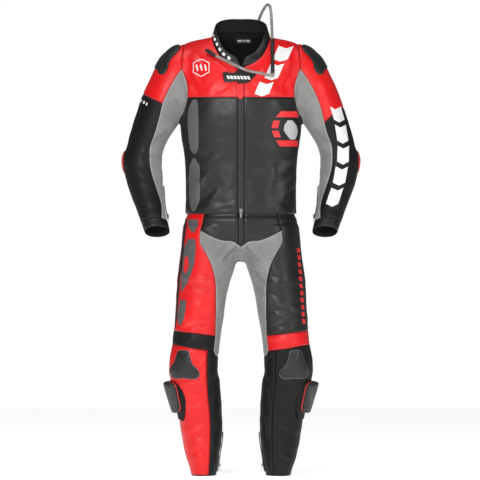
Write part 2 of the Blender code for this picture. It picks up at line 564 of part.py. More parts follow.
def grid_faces(nv, nu, closed, outer):
    """Triangles of a grid, each square split along its shorter diagonal; the same for both walls."""
    faces = []
    last = nu if closed else nu - 1
    for i in range(nv - 1):
        for j in range(last):
            k = (j + 1) % nu
            a, b, c, d = i * nu + j, i * nu + k, (i + 1) * nu + k, (i + 1) * nu + j
            if np.linalg.norm(outer[a] - outer[c]) <= np.linalg.norm(outer[b] - outer[d]):
                faces += [(a, b, c), (a, c, d)]
            else:
                faces += [(a, b, d), (b, c, d)]
    return faces


def shell(name, grid, normal, low, high, colour, closed=False):
    """A closed solid between two surfaces that lie low and high above the grid."""
    nv, nu = grid.shape[:2]
    outer = (grid + normal * np.asarray(high)[..., None]).reshape(-1, 3)
    inner = (grid + normal * np.asarray(low)[..., None]).reshape(-1, 3)
    faces = grid_faces(nv, nu, closed, outer)
    count = nv * nu
    walls = [(c + count, b + count, a + count) for a, b, c in faces]
    rim = [list(range(nu)), [(nv - 1) * nu + j for j in range(nu)][::-1]]
    if closed:
        rim = [loop + loop[:1] for loop in rim]
    else:
        around = ([j for j in range(nu)] + [i * nu + nu - 1 for i in range(1, nv)]
                  + [(nv - 1) * nu + j for j in range(nu - 2, -1, -1)] + [i * nu for i in range(nv - 2, -1, -1)])
        rim = [around]
    for loop in rim:
        for a, b in zip(loop[:-1], loop[1:]):
            if np.linalg.norm(outer[a] - inner[b]) <= np.linalg.norm(outer[b] - inner[a]):
                walls += [(b, a, b + count), (a, a + count, b + count)]
            else:
                walls += [(b, a, a + count), (b, a + count, b + count)]
    return make(name, np.concatenate([outer, inner]), faces + walls, colour)


def round_line(points, count):
    """A closed smooth curve through the points, cut into equal steps."""
    points = np.array(points, float)
    return smooth_line(np.concatenate([points[-2:], points, points[:2]]), 8 * (len(points) + 3), loop=count)


def plate(name, keys, centre, count, rings, low, high, colour, dome=0.0, side=1, wall=None, shift=0.0, foot=None):
    """A closed solid on the form inside an outline, its heights in mm.

    It is thicker towards its centre by dome, and with foot its height falls from the top row to the foot.
    With wall it is hollow underneath.
    """
    keys = [(k[0], k[1] + shift, *k[2:]) if k[0] == "front" else k for k in (*keys, centre)]
    placed = np.array([key_point(k) for k in keys])
    outline = round_line(placed[:-1], count)
    centre = placed[-1]
    n = len(outline)
    layers = [outline]
    for r in range(1, rings):
        layers.append(settle(centre + (outline - centre) * (1 - r / rings), 10))
    base = np.concatenate(layers + [centre[None]])
    up = normals(base)
    share = np.concatenate([np.full(n, r / rings) for r in range(rings)] + [[1.0]])
    rise = high + dome * np.sqrt(np.clip(1 - (1 - share) ** 2, 0, 1))
    if foot is not None:
        rise += (foot - high) * (outline[:, 2].max() - base[:, 2]) / np.ptp(outline[:, 2])
    depth = np.maximum(low, rise - wall) if wall else np.full(len(base), low)
    if wall:
        depth = np.where(share == 0, low, depth)
    top = base + up * rise[:, None] / 1000
    under = base + up * depth[:, None] / 1000
    if side < 0:
        top, under = mirrored(top), mirrored(under)
    faces = []
    for r in range(rings - 1):
        for k in range(n):
            m = (k + 1) % n
            a, b, c, d = r * n + k, r * n + m, (r + 1) * n + m, (r + 1) * n + k
            faces += [(a, b, c), (a, c, d)]
    last = (rings - 1) * n
    faces += [(last + k, last + (k + 1) % n, rings * n) for k in range(n)]
    count = len(top)
    both = faces + [(c + count, b + count, a + count) for a, b, c in faces]
    for k in range(n):
        m = (k + 1) % n
        both += [(m, k, k + count), (m, k + count, m + count)]
    return make(name, np.concatenate([top, under]), both, colour)


def material(name, colour):
    found = bpy.data.materials.new(name)
    found.use_nodes = True
    shader = found.node_tree.nodes["Principled BSDF"]
    shader.inputs["Base Color"].default_value = (*colour, 1.0)
    shader.inputs["Roughness"].default_value = 0.25 if colour == METAL else 0.6
    shader.inputs["Metallic"].default_value = 1.0 if colour == METAL else 0.0
    return found


def make(name, points, faces, colour, origin=None):
    """An object from points in the shared frame, its faces turned outward."""
    where = np.zeros(3) if origin is None else np.asarray(origin, float)
    mesh = bpy.data.meshes.new(name)
    mesh.from_pydata((np.asarray(points) - where).tolist(), [], [list(map(int, f)) for f in faces])
    corners = np.asarray(points)
    volume = sum(float(np.dot(corners[f[0]], np.cross(corners[f[i]], corners[f[i + 1]])))
                 for f in faces for i in range(1, len(f) - 1))
    if volume < 0:
        mesh.flip_normals()
    mesh.materials.append(material(name, colour))
    obj = bpy.data.objects.new(name, mesh)
    obj.location = where
    bpy.context.collection.objects.link(obj)
    return obj


def panel(name, grid, colour, side=1, gap=SEAM_GAP, trousers=False):
    """A sewn panel: its grid pulled in at the seams, and given a wall."""
    low, high = -WALL, 0.0
    normal = normals(grid)
    placed = inset(grid, normal, gap / 2)
    if trousers:
        placed = tuck(placed, normal)
    if side < 0:
        placed, normal = mirrored(placed), mirrored(normal)
    return shell(name, placed, normal, np.full(grid.shape[:2], low), np.full(grid.shape[:2], high), colour)


def seam_points():
    seams = {name: smooth_line([key_point(k) for k in keys], steps) for name, steps, keys in SEAMS}
    for end, (first, _, low, _, second) in SLEEVE_SPLIT.items():
        for view, split, name in (("front", first, "f"), ("back", second, "b")):
            apex = APEX_F if view == "front" else APEX_B
            cuff = CUFF_F if view == "front" else CUFF_B
            above = [(view, *k) for k in STRETCH_EDGE if k[1] < split[1] - 3]
            below = [(view, *k) for k in STRETCH_EDGE if k[1] > split[1] + 3]
            keys = [apex, *above, (view, *split), *below, cuff]
            at = len(above) + 1
            points = [key_point(k) for k in keys]
            seams["stretch_up_" + name + end] = smooth_line(points[: at + 1], UPPER_STEPS)
            seams["stretch_low_" + name + end] = smooth_line(points[at:], LOWER_STEPS)
        front, middle, low, rear, back = SLEEVE_SPLIT[end]
        keys = [("front", *front), ("front", *middle), ("arm", 0.0, low), ("back", *rear), ("back", *back)]
        seams["split" + end] = smooth_line([key_point(k) for k in keys], 8)
    return seams


def jacket_panels(s):
    for end, side in (("_r", -1), ("_l", 1)):
        panel("front_yoke" + end, patch(join(s["neck_front"], s["shoulder"]), s["chest"], s["centre_yoke"],
                                        join(s["armhole_f1"], s["armhole_f2"])), RED, side)
        panel("front_lower" + end, patch(s["chest"], s["hem_front"], s["centre_low"],
                                         join(s["armhole_f3"], s["side"])), BLACK, side)
        up = "stretch_up_"
        low = "stretch_low_"
        panel("sleeve_upper" + end, patch(join(s["armhole_f1"][::-1], s["armhole_b1"]), s["split" + end],
                                          s[up + "f" + end], s[up + "b" + end]), RED, side)
        panel("sleeve_lower" + end, patch(s["split" + end], s["cuff_out"], s[low + "f" + end],
                                          s[low + "b" + end]), BLACK, side)
        around = join(s["armhole_f2"], s["armhole_f3"], s["armhole_b3"][::-1], s["armhole_b2"][::-1])
        panel("sleeve_inner" + end, patch(around, s["cuff_in"], join(s[up + "f" + end], s[low + "f" + end]),
                                          join(s[up + "b" + end], s[low + "b" + end])), STRETCH, side)
    neck = join(s["neck_back"][::-1], s["shoulder"])
    both = [join(mirrored(e)[::-1], e) for e in (neck, s["back_chest"], s["hem_back"])]
    sides = join(s["armhole_b1"], s["armhole_b2"]), join(s["armhole_b3"], s["side"])
    panel("back_yoke", patch(both[0], both[1], mirrored(sides[0]), sides[0]), RED)
    panel("back_lower", patch(both[1], both[2], mirrored(sides[1]), sides[1]), BLACK)


def trouser_panels(s):
    for end, side in (("_r", -1), ("_l", 1)):
        thigh = RED if side < 0 else BLACK
        band = BLACK if side < 0 else RED
        panel("front_waist" + end, patch(s["waist_front"], s["crotch_front"], s["fly_side"], s["waist_edge"]),
              BLACK, side, trousers=True)
        panel("outer_thigh" + end, patch(s["waist_side"], s["knee_top"], join(s["waist_edge"], s["thigh_front"]),
                                         join(s["hip_side"], s["thigh_back"])), thigh, side, trousers=True)
        around = join(s["crotch_front"][::-1], s["fly_foot"], s["crotch_under"], s["seat_foot"])
        panel("inner_thigh" + end, patch(around, s["knee_inner"], join(s["thigh_front"], s["band_front"]),
                                         join(s["thigh_back"], s["band_back"])), STRETCH, side)
        panel("knee_band" + end, patch(s["knee_top"], join(s["band_step"], s["band_foot"]), s["band_front"],
                                       s["band_back"]), band, side)
        panel("shin" + end, patch(s["band_foot"], s["ankle_out"], s["calf_front"], s["calf_back"]), thigh, side)
        panel("calf_inner" + end, patch(join(s["band_step"][::-1], s["knee_inner"]), s["ankle_in"],
                                        s["calf_front"], s["calf_back"]), BLACK, side)
    both = [join(mirrored(e)[::-1], e) for e in (s["waist_back"], s["seat_foot"])]
    panel("seat", patch(both[0], both[1], mirrored(s["hip_side"]), s["hip_side"]), BLACK, gap=0.0006,
          trousers=True)


def grid_normals(grid):
    """Normals of a free grid, from its own steps."""
    across = np.gradient(grid, axis=1)
    down = np.gradient(grid, axis=0)
    found = np.cross(down, across)
    return found / np.maximum(np.linalg.norm(found, axis=-1, keepdims=True), 1e-12)


def spots(route):
    return np.array([(h * PX, y / 1000, height_of(row)) for h, row, y in route])


def collar(s):
    """A standing band from the neckline to its rim, open at the front."""
    foot = join(s["neck_front"], s["neck_back"])
    rim = join(smooth_line(spots(RIM_FRONT), 5, False), smooth_line(spots(RIM_BACK), 4, False))
    foot = join(foot, mirrored(foot)[::-1])
    rim = join(rim, mirrored(rim)[::-1])
    away = foot - rim
    foot = foot - 0.0006 * away / np.linalg.norm(away, axis=1, keepdims=True)
    share = np.array([0.0, 0.35, 0.7, 1.0])[:, None, None]
    grid = foot[None] * (1 - share) + rim[None] * share
    normal = grid_normals(grid)
    if (normal[1, 0] * (0, -1, 0)).sum() < 0:
        normal = -normal
    grid = grid + normal * COLLAR_BULGE * np.sin(np.pi * share)
    sizes = np.ones(grid.shape[:2])
    shell("collar", grid, normal, -COLLAR_WALL * sizes, 0 * sizes, BLACK)


def cuffs(s):
    """A band from the sleeve's end to the open edge."""
    top = join(s["cuff_out"], s["cuff_in"][::-1])[:-1]
    cx, cy, a, b, _ = arm_section(NECK_ROW - top[:, 2] / PX)
    turn = np.arctan2(-(top[:, 1] - cy) / b, (top[:, 0] - cx) / a)
    middle, over, across = CUFF_EDGE
    rows = middle + over * np.sin(turn) + across * np.cos(turn)
    cx, cy, a, b, _ = arm_section(rows)
    edge = settle(np.stack([cx + a * np.cos(turn), cy - b * np.sin(turn), height_of(rows)], axis=-1))
    grid = np.stack([top, settle((top + edge) / 2), edge])
    for end, side in (("_r", -1), ("_l", 1)):
        normal = normals(grid)
        placed = inset(grid, normal, SEAM_GAP / 2, closed=True)
        if side < 0:
            placed, normal = mirrored(placed), mirrored(normal)
        sizes = np.ones(grid.shape[:2])
        shell("cuff" + end, placed, normal, -WALL * sizes, 0 * sizes, BLACK, closed=True)


def plates():
    for end, side in (("_r", -1), ("_l", 1)):
        for name, (keys, centre, count, rings, low, high, dome), colour in (
            ("shoulder_cup", SHOULDER_CUP, BLACK), ("elbow_cup", ELBOW_CUP, RED), ("slider_panel", SLIDER_PANEL, BLACK)
        ):
            plate(name + end, keys, centre, count, rings, low, high, colour, dome, side)
        keys, centre, count, rings, low, high, dome = KNEE_CUP
        plate("knee_cup" + end, keys, centre, count, rings, low, high, BLACK, dome, side, shift=KNEE_SHIFT[end])
        keys, centre, count, rings = SLIDER
        plate("slider_base" + end, keys, centre, count, rings, *SLIDER_BASE_MM, RED, 0.0, side)
        low, high, foot, dome = PUCK_MM
        plate("slider_puck" + end, keys, centre, count, rings, low, high, BLACK, dome, side, foot=foot)
    for name, (keys, centre, count, rings, low, high, dome), colour in (
        ("chest_tab", CHEST_TAB, BLACK), ("zip_cover", ZIP_COVER, RED)
    ):
        plate(name, keys, centre, count, rings, low, high, colour, dome)
    keys, centre, count, rings, low, high, dome = HUMP
    whole = (*keys, *[(k[0], -k[1], k[2]) for k in keys[-2:0:-1]])
    plate("hump", whole, centre, count, rings, low, high, BLACK, dome, wall=HUMP_WALL)


def block(name, frame, low, high):
    """A box in a frame of three axes and an origin, sizes in metres."""
    axes, origin = frame
    corners = [(x, y, z) for x in (low[0], high[0]) for y in (low[1], high[1]) for z in (low[2], high[2])]
    points = [origin + np.array(c) @ axes for c in corners]
    faces = [(0, 1, 3, 2), (4, 6, 7, 5), (0, 4, 5, 1), (2, 3, 7, 6), (0, 2, 6, 4), (1, 5, 7, 3)]
    return make(name, points, faces, METAL)


def ring_prism(name, frame, outer, inner, low, high, origin, colour):
    """A flat ring between two loops of as many points, of an even thickness."""
    axes, place = frame
    points = [place + np.array((u, w, n)) / 1000 @ axes
              for n in (low, high) for loop in (outer, inner) for u, w in loop]
    count = len(outer)
    faces = []
    for k in range(count):
        m = (k + 1) % count
        a, b, c, d = k, m, m + count, k + count
        faces += [(a, b, c, d), tuple(i + 2 * count for i in (d, c, b, a))]
        faces += [(b, a, a + 2 * count, b + 2 * count), (d, c, c + 2 * count, d + 2 * count)]
    return make(name, points, faces, colour, origin)


def add_slider(zip_obj, pull_name, surface, down, out):
    """Joins a slider with its arch to a zip, and hangs the pull tab in the arch."""
    out = out * (1, 1, 0)
    out /= np.linalg.norm(out)
    down = down - (down @ out) * out
    down /= np.linalg.norm(down)
    axis = np.cross(down, out)
    frame = (np.stack([axis, down, out]), surface)
    half_u, half_w = SLIDER_HALF
    body = block(pull_name + "_body", frame, (-half_u, -half_w, -SLIDER_DEPTH), (half_u, half_w, 0.0))
    points = [surface + np.array((u, w, n)) / 1000 @ frame[0] for u in (-ARCH_HALF, ARCH_HALF) for w, n in ARCH]
    count = len(ARCH)
    faces = [tuple(range(count)), tuple(range(2 * count - 1, count - 1, -1))]
    faces += [(k + count, (k + 1) % count + count, (k + 1) % count, k) for k in range(count)]
    arch = make(pull_name + "_arch", points, faces, METAL)
    for piece in (body, arch):
        piece.hide_render = True
        piece.display_type = "WIRE"
        union = zip_obj.modifiers.new("join", "BOOLEAN")
        union.operation = "UNION"
        union.solver = "EXACT"
        union.object = piece
    hinge = surface + out * PULL_AXIS
    ring_prism(pull_name, (frame[0], hinge), PULL_OUTER, PULL_INNER, -PULL_HALF, PULL_HALF, hinge, METAL)


def zips(s):
    """The front zip and the fly between their panels, and the cuff and ankle zips on theirs."""
    right = join(s["centre_yoke"], s["centre_low"])
    share = np.array([0.0, 0.32, 0.5, 0.68, 1.0])[None, :, None]
    ridge = np.array([0.0, 0.0, 1.0, 0.0, 0.0]) * ZIP_RIDGE + np.array([0, 1, 1, 1, 0]) * 0.0008
    grid = mirrored(right)[:, None] * (1 - share) + right[:, None] * share
    grid[:, 1:-1] = settle(grid[:, 1:-1])
    normal = normals(grid)
    tall = np.repeat(ridge[None], len(grid), 0)
    zip_obj = shell("main_zip", inset(grid, normal, SEAM_GAP / 2), normal, 0 * tall - WALL, tall, BLACK)
    at = key_point(("front", 0.0, MAIN_SLIDER_ROW))
    add_slider(zip_obj, "main_pull", at + np.array((0, -0.0036, 0)), np.array((0, 0, -1.0)), np.array((0, -1.0, 0)))
    right = s["fly_side"]
    grid = mirrored(right)[:, None] * (1 - share) + right[:, None] * share
    foot = np.stack([mirrored(right[-1]), s["fly_foot"][-1], right[-1]])
    grid[-1] = np.stack([np.interp(share[0, :, 0], (0, 0.5, 1), foot[:, i]) for i in range(3)], axis=1)
    grid[:-1, 1:-1] = settle(grid[:-1, 1:-1])
    normal = normals(grid)
    tall = np.repeat(ridge[None], len(grid), 0)
    shell("fly_zip", tuck(inset(grid, normal, SEAM_GAP / 2), normal), normal, 0 * tall - WALL, tall, BLACK)
    for limb, name, (*line, stop) in (("arm", "cuff", CUFF_ZIP), ("leg", "ankle", ANKLE_ZIP)):
        centre = smooth_line([key_point((limb, *k)) for k in line], 6)
        normal = normals(centre)
        along = np.gradient(centre, axis=0)
        aside = np.cross(along, normal)
        aside /= np.linalg.norm(aside, axis=1, keepdims=True)
        across = (share[0] - 0.5)[None] * 2 * STRIP_HALF
        grid = settle(centre[:, None] + aside[:, None] * across)
        up = normals(grid)
        tall = STRIP_TOP + np.repeat(ridge[None] * 0.8, len(grid), 0)
        spot = np.stack([np.interp(-height_of(stop), -centre[:, 2], centre[:, i]) for i in range(3)])
        way = np.stack([np.interp(-height_of(stop), -centre[:, 2], along[:, i]) for i in range(3)])
        facing = normals(spot[None])[0]
        for end, side in (("_r", -1), ("_l", 1)):
            turn = np.array((side, 1, 1))
            zip_obj = shell(name + "_zip" + end, grid * turn, up * turn, 0 * tall + STRIP_LIFT, tall, BLACK)
            add_slider(zip_obj, name + "_pull" + end, (spot + facing * 0.0053) * turn, way * turn, facing * turn)


def tube(name, route, colour, steps, radii=None):
    """A hose as a curve with filled ends."""
    points = smooth_line(spots(route), steps, False)
    shape = bpy.data.curves.new(name, "CURVE")
    shape.dimensions = "3D"
    shape.bevel_depth = HOSE_RADIUS / 1000
    shape.bevel_resolution = 2
    shape.use_fill_caps = True
    line = shape.splines.new("POLY")
    line.points.add(len(points) - 1)
    for at, point in enumerate(points):
        line.points[at].co = (*point, 1.0)
        if radii is not None:
            share = at / steps * (len(radii) - 1)
            line.points[at].radius = float(np.interp(share, range(len(radii)), radii)) / HOSE_RADIUS
    shape.materials.append(material(name, colour))
    bpy.context.collection.objects.link(bpy.data.objects.new(name, shape))


def drink_hose():
    tube("hose", HOSE_ROUTE, CLEAR, 32)
    tube("hose_sleeve", [r[:3] for r in SLEEVE_ROUTE], BLACK, 16, [r[3] for r in SLEEVE_ROUTE])
    tube("hose_elbow", ELBOW_ROUTE, CLEAR, 8)
    tube("mouth_hose", MOUTH_ROUTE, CLEAR, 18)
    tube("bite_valve", [r[:3] for r in VALVE_ROUTE], BLACK, 8, [r[3] for r in VALVE_ROUTE])


def main():
    for obj in list(bpy.data.objects):
        bpy.data.objects.remove(obj)
    seams = seam_points()
    jacket_panels(seams)
    trouser_panels(seams)
    collar(seams)
    cuffs(seams)
    plates()
    zips(seams)
    drink_hose()


main()
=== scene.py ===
"""Motorcycle suit: the looks of a two-piece racing suit, filled out as if worn, in metres.

The origin is the centre of the neck base, +Z up, the front facing -Y. Every panel is a thin shell on
one smooth body form, worked out from tables of sections: a row of the photo for the height, and half
widths and depths for the shape. The form and the seams are the same as in the CAD source, cut finer
here, and creases, seam grooves and materials are added.
"""

from functools import partial

import bpy
import numpy as np
from bpy.props import FloatProperty, FloatVectorProperty, PointerProperty
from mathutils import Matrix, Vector


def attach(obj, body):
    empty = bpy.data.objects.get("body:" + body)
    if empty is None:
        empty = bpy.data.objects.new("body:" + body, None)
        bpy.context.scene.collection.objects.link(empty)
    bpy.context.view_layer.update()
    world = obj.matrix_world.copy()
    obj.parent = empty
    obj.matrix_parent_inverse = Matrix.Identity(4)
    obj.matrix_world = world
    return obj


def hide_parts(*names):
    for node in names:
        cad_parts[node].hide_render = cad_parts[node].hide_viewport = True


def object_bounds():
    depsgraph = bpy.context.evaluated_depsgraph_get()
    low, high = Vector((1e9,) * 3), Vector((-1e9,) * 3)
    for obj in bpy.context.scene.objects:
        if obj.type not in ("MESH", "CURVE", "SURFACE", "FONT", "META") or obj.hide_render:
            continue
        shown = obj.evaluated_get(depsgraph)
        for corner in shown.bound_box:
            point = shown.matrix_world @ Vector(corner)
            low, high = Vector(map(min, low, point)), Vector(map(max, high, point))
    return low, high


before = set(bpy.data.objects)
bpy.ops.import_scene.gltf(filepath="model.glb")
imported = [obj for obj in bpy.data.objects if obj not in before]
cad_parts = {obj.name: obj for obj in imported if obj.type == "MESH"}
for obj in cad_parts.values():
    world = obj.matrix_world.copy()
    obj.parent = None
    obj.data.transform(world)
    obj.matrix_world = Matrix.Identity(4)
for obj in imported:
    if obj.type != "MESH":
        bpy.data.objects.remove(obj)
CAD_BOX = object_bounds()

bl_info = {
    "name": "Motorcycle suit",
    "version": (1, 0, 0),
    "blender": (4, 5, 0),
    "location": "3D View > Sidebar > Suit",
    "description": "Builds a two-piece leather riding suit around its CAD frame",
    "category": "Object",
}

# Name ending and X sign of the wearer's right and left side
SIDES = (("_r", -1), ("_l", 1))

# Steps of a fine grid for each step of a CAD grid
FINE = 6

# Scale and frame
PX = 0.0031
NECK_ROW = 52.0
MIDDLE_PX = 241.0
IMAGE_PX = 480

# Cloth
WALL = 0.0020
COLLAR_WALL = 0.0030
SEAM_GAP = 0.00030
TUCK = 0.0065
HEM_ROW = 214.0
WAIST_ROW = 206.0

# Trunk sections: photo row, half width in photo pixels, front and back depth in mm, roundness
TRUNK = ((27, 25.5, 43, 55, 2), (33, 27, 46, 58, 2), (37, 29.5, 50, 62, 1.9), (38.5, 36, 54, 65, 1.7),
         (40, 45, 57, 68, 1.6), (43, 54.5, 62, 74, 1.6), (46, 60, 68, 80, 1.7), (52, 65, 79, 91, 1.8),
         (58, 66, 88, 99, 2), (64, 66, 97, 106, 2.1), (76, 64, 110, 114, 2.2), (88, 62.5, 119, 119, 2.3),
         (100, 61.5, 124, 120, 2.4), (112, 61, 125, 117, 2.4), (124, 60.5, 123, 112, 2.4),
         (136, 59.5, 119, 105, 2.4), (148, 57.8, 115, 98, 2.4), (160, 56.2, 111, 93, 2.4),
         (172, 55.5, 109, 91, 2.4), (184, 55.2, 108, 92, 2.4), (196, 55.2, 108, 96, 2.4),
         (208, 55.4, 108.5, 102, 2.4), (220, 56.2, 109, 109, 2.3), (232, 56.6, 107, 116, 2.2),
         (242, 56, 98, 114, 2.2), (250, 50, 78, 96, 2.1), (256, 34, 46, 62, 2), (259, 16, 18, 28, 2),
         (260.5, 2, 3, 3, 2))

# Arm sections: photo row, centre and half width in pixels, centre forward and half depth in mm, roundness
ARM = ((44.8, 58, 1, 0, 5, 2), (46, 58.2, 5.2, 0, 18, 2), (48, 58.3, 9.6, 0, 29, 2),
       (52, 58.3, 14.4, 0, 42, 2), (58, 60, 18.8, -1, 55, 2), (64, 62, 20.7, -2, 63, 2.1),
       (76, 66.3, 23, -3, 72, 2.1), (88, 71, 24, -4, 76, 2.1), (100, 75.6, 24, -5, 77, 2.1),
       (112, 79.8, 23.7, -6, 76, 2.1), (124, 84.9, 22.6, -6, 74, 2.1), (136, 90.5, 20.6, -5, 71, 2.1),
       (148, 95.2, 18.9, -3, 68, 2.1), (154, 97.2, 19, -1, 67, 2.1), (160, 97.9, 19.3, 2, 66, 2.1),
       (172, 97, 19, 11, 64, 2.1), (184, 95.1, 17.9, 23, 60, 2.1), (196, 92.7, 16.3, 37, 55, 2.1),
       (208, 89.7, 14.4, 53, 50, 2.1), (220, 86.1, 13.5, 70, 46, 2.1), (232, 82.6, 12.9, 88, 43, 2.1),
       (244, 79, 12.4, 106, 41, 2.1))

# Leg sections: photo row, outer and inner half distance in pixels, front and back depth in mm, roundness
LEG = ((226, 55.5, 2, 90, 96, 2.1), (238, 58, 2.2, 98, 110, 2.1), (250, 59.6, 2.6, 99, 112, 2.1),
       (262, 61, 4.5, 98, 105, 2.1), (274, 62.5, 8, 97, 98, 2.1), (286, 63.6, 11.5, 96, 92, 2.1),
       (298, 64.3, 14, 95, 87, 2.1), (310, 65.1, 15.8, 94, 82, 2.1), (322, 66, 17.6, 92, 77, 2.1),
       (334, 67, 19.8, 90, 72, 2.1), (346, 68.4, 21.2, 89, 69, 2.1), (358, 70.7, 22.4, 89, 67, 2.1),
       (370, 71.3, 22.5, 87, 66, 2.1), (382, 69.4, 20.6, 82, 67, 2.1), (394, 66.6, 19.5, 76, 71, 2.1),
       (406, 64, 18.6, 70, 76, 2.1), (418, 61.6, 18.2, 65, 80, 2.1), (430, 60, 18.1, 61, 81, 2.1),
       (442, 58, 19, 58, 78, 2.1), (454, 55.2, 20.9, 55, 72, 2.1), (466, 51.8, 22.6, 53, 64, 2.1),
       (478, 48, 25, 52, 57, 2.1))

# Width of the smooth blend where an arm joins the trunk, by photo row, in mm
ARMHOLE_BLEND = ((40, 6), (60, 16), (90, 26), (115, 22), (135, 10), (150, 4))
CROTCH_BLEND = 0.022
CENTRE_BLEND = 0.006

# Largest folds: side (1 left, -1 right, 0 both), y limits of the side they lie on in mm,
# the two ends in pixels from the middle and rows, half width in pixels, height in mm
FOLDS = ((0, -300, -20, 54, 82, 50, 104, 3, 3.5), (0, -300, -20, 62, 96, 59, 114, 3, -3.5),
         (0, -300, 0, 50, 54, 45, 66, 4, 2.5), (0, 10, 300, 60, 60, 56, 96, 4, -3),
         (0, -300, 60, 80, 144, 92, 150, 3.5, -4), (0, -300, 60, 80, 152, 94, 160, 3.5, 3.5),
         (0, -300, 60, 79, 166, 90, 168, 3.5, -3.5), (0, -300, -20, 34, 176, 48, 190, 5, 3),
         (0, -300, -20, 30, 192, 46, 206, 4.5, -3), (0, 20, 300, 8, 186, 44, 198, 5, 3.5),
         (0, 20, 300, 10, 200, 46, 206, 4.5, -3), (0, -300, -20, 5, 246, 26, 262, 3.5, 3.5),
         (0, -300, -20, 12, 262, 32, 274, 4, -3), (0, -300, 40, 27, 284, 62, 279, 4.5, 3),
         (0, -300, 40, 28, 322, 62, 325, 4, -3), (0, 10, 300, 26, 352, 62, 356, 4, -4),
         (0, 10, 300, 24, 366, 62, 368, 4.5, 4), (0, 10, 300, 24, 378, 60, 382, 4, -3.5),
         (0, -300, 0, 36, 394, 58, 386, 4, 3.5), (0, -300, 0, 36, 430, 56, 440, 4.5, -3),
         (0, -300, 20, 32, 458, 52, 456, 3, 2.5), (0, -300, 20, 32, 466, 50, 467, 3, -2.5))

# Seam key points on the wearer's left. A key is how it is found, and two numbers: front and back are
# pixels from the middle and a photo row; arm, leg and trunk are an angle round the limb from its
# outer side over its front, and a row; at has a third number, the depth in mm where the search starts
NECK_C = ("front", 2.9, 68)
NECK_S = ("at", 29, 37, 0)
NECK_B = ("back", 0, 30)
SHOULDER = ("at", 57, 43.8, 0)
APEX_F = ("front", 59, 69.5)
APEX_B = ("back", 59, 69.5)
CHEST_C = ("front", 2.9, 98.3)
CHEST_S = ("front", 53.5, 98.3)
BACK_S = ("back", 54.5, 98.3)
ARMPIT = ("at", 62, 121.5, 0)
HEM_C = ("front", 2.9, HEM_ROW)
HEM_S = ("trunk", 0, HEM_ROW)
HEM_B = ("back", 0, HEM_ROW)
CUFF_F = ("arm", 126, 218)
CUFF_B = ("arm", 234, 228)
WAIST_C = ("front", 2.5, WAIST_ROW)
WAIST_F = ("front", 37.5, WAIST_ROW)
WAIST_S = ("trunk", 0, WAIST_ROW)
WAIST_B = ("back", 0, WAIST_ROW)
HIP_F = ("front", 40.5, 230.4)
FLY_END = ("front", 2.5, 245.3)
FLY_TIP = ("front", 0, 246.3)
CROTCH = ("at", 0, 256.5, 46)
SEAT_END = ("back", 38, 272)
KNEE_F = ("front", 25.3, 335.5)
KNEE_B = ("back", 39, 329.5)
BAND_F = ("front", 27, 350.5)
BAND_S = ("front", 33, 349.8)
BAND_B = ("back", 39, 343)
ANKLE_F = ("front", 32, 475)
ANKLE_B = ("back", 37, 475)

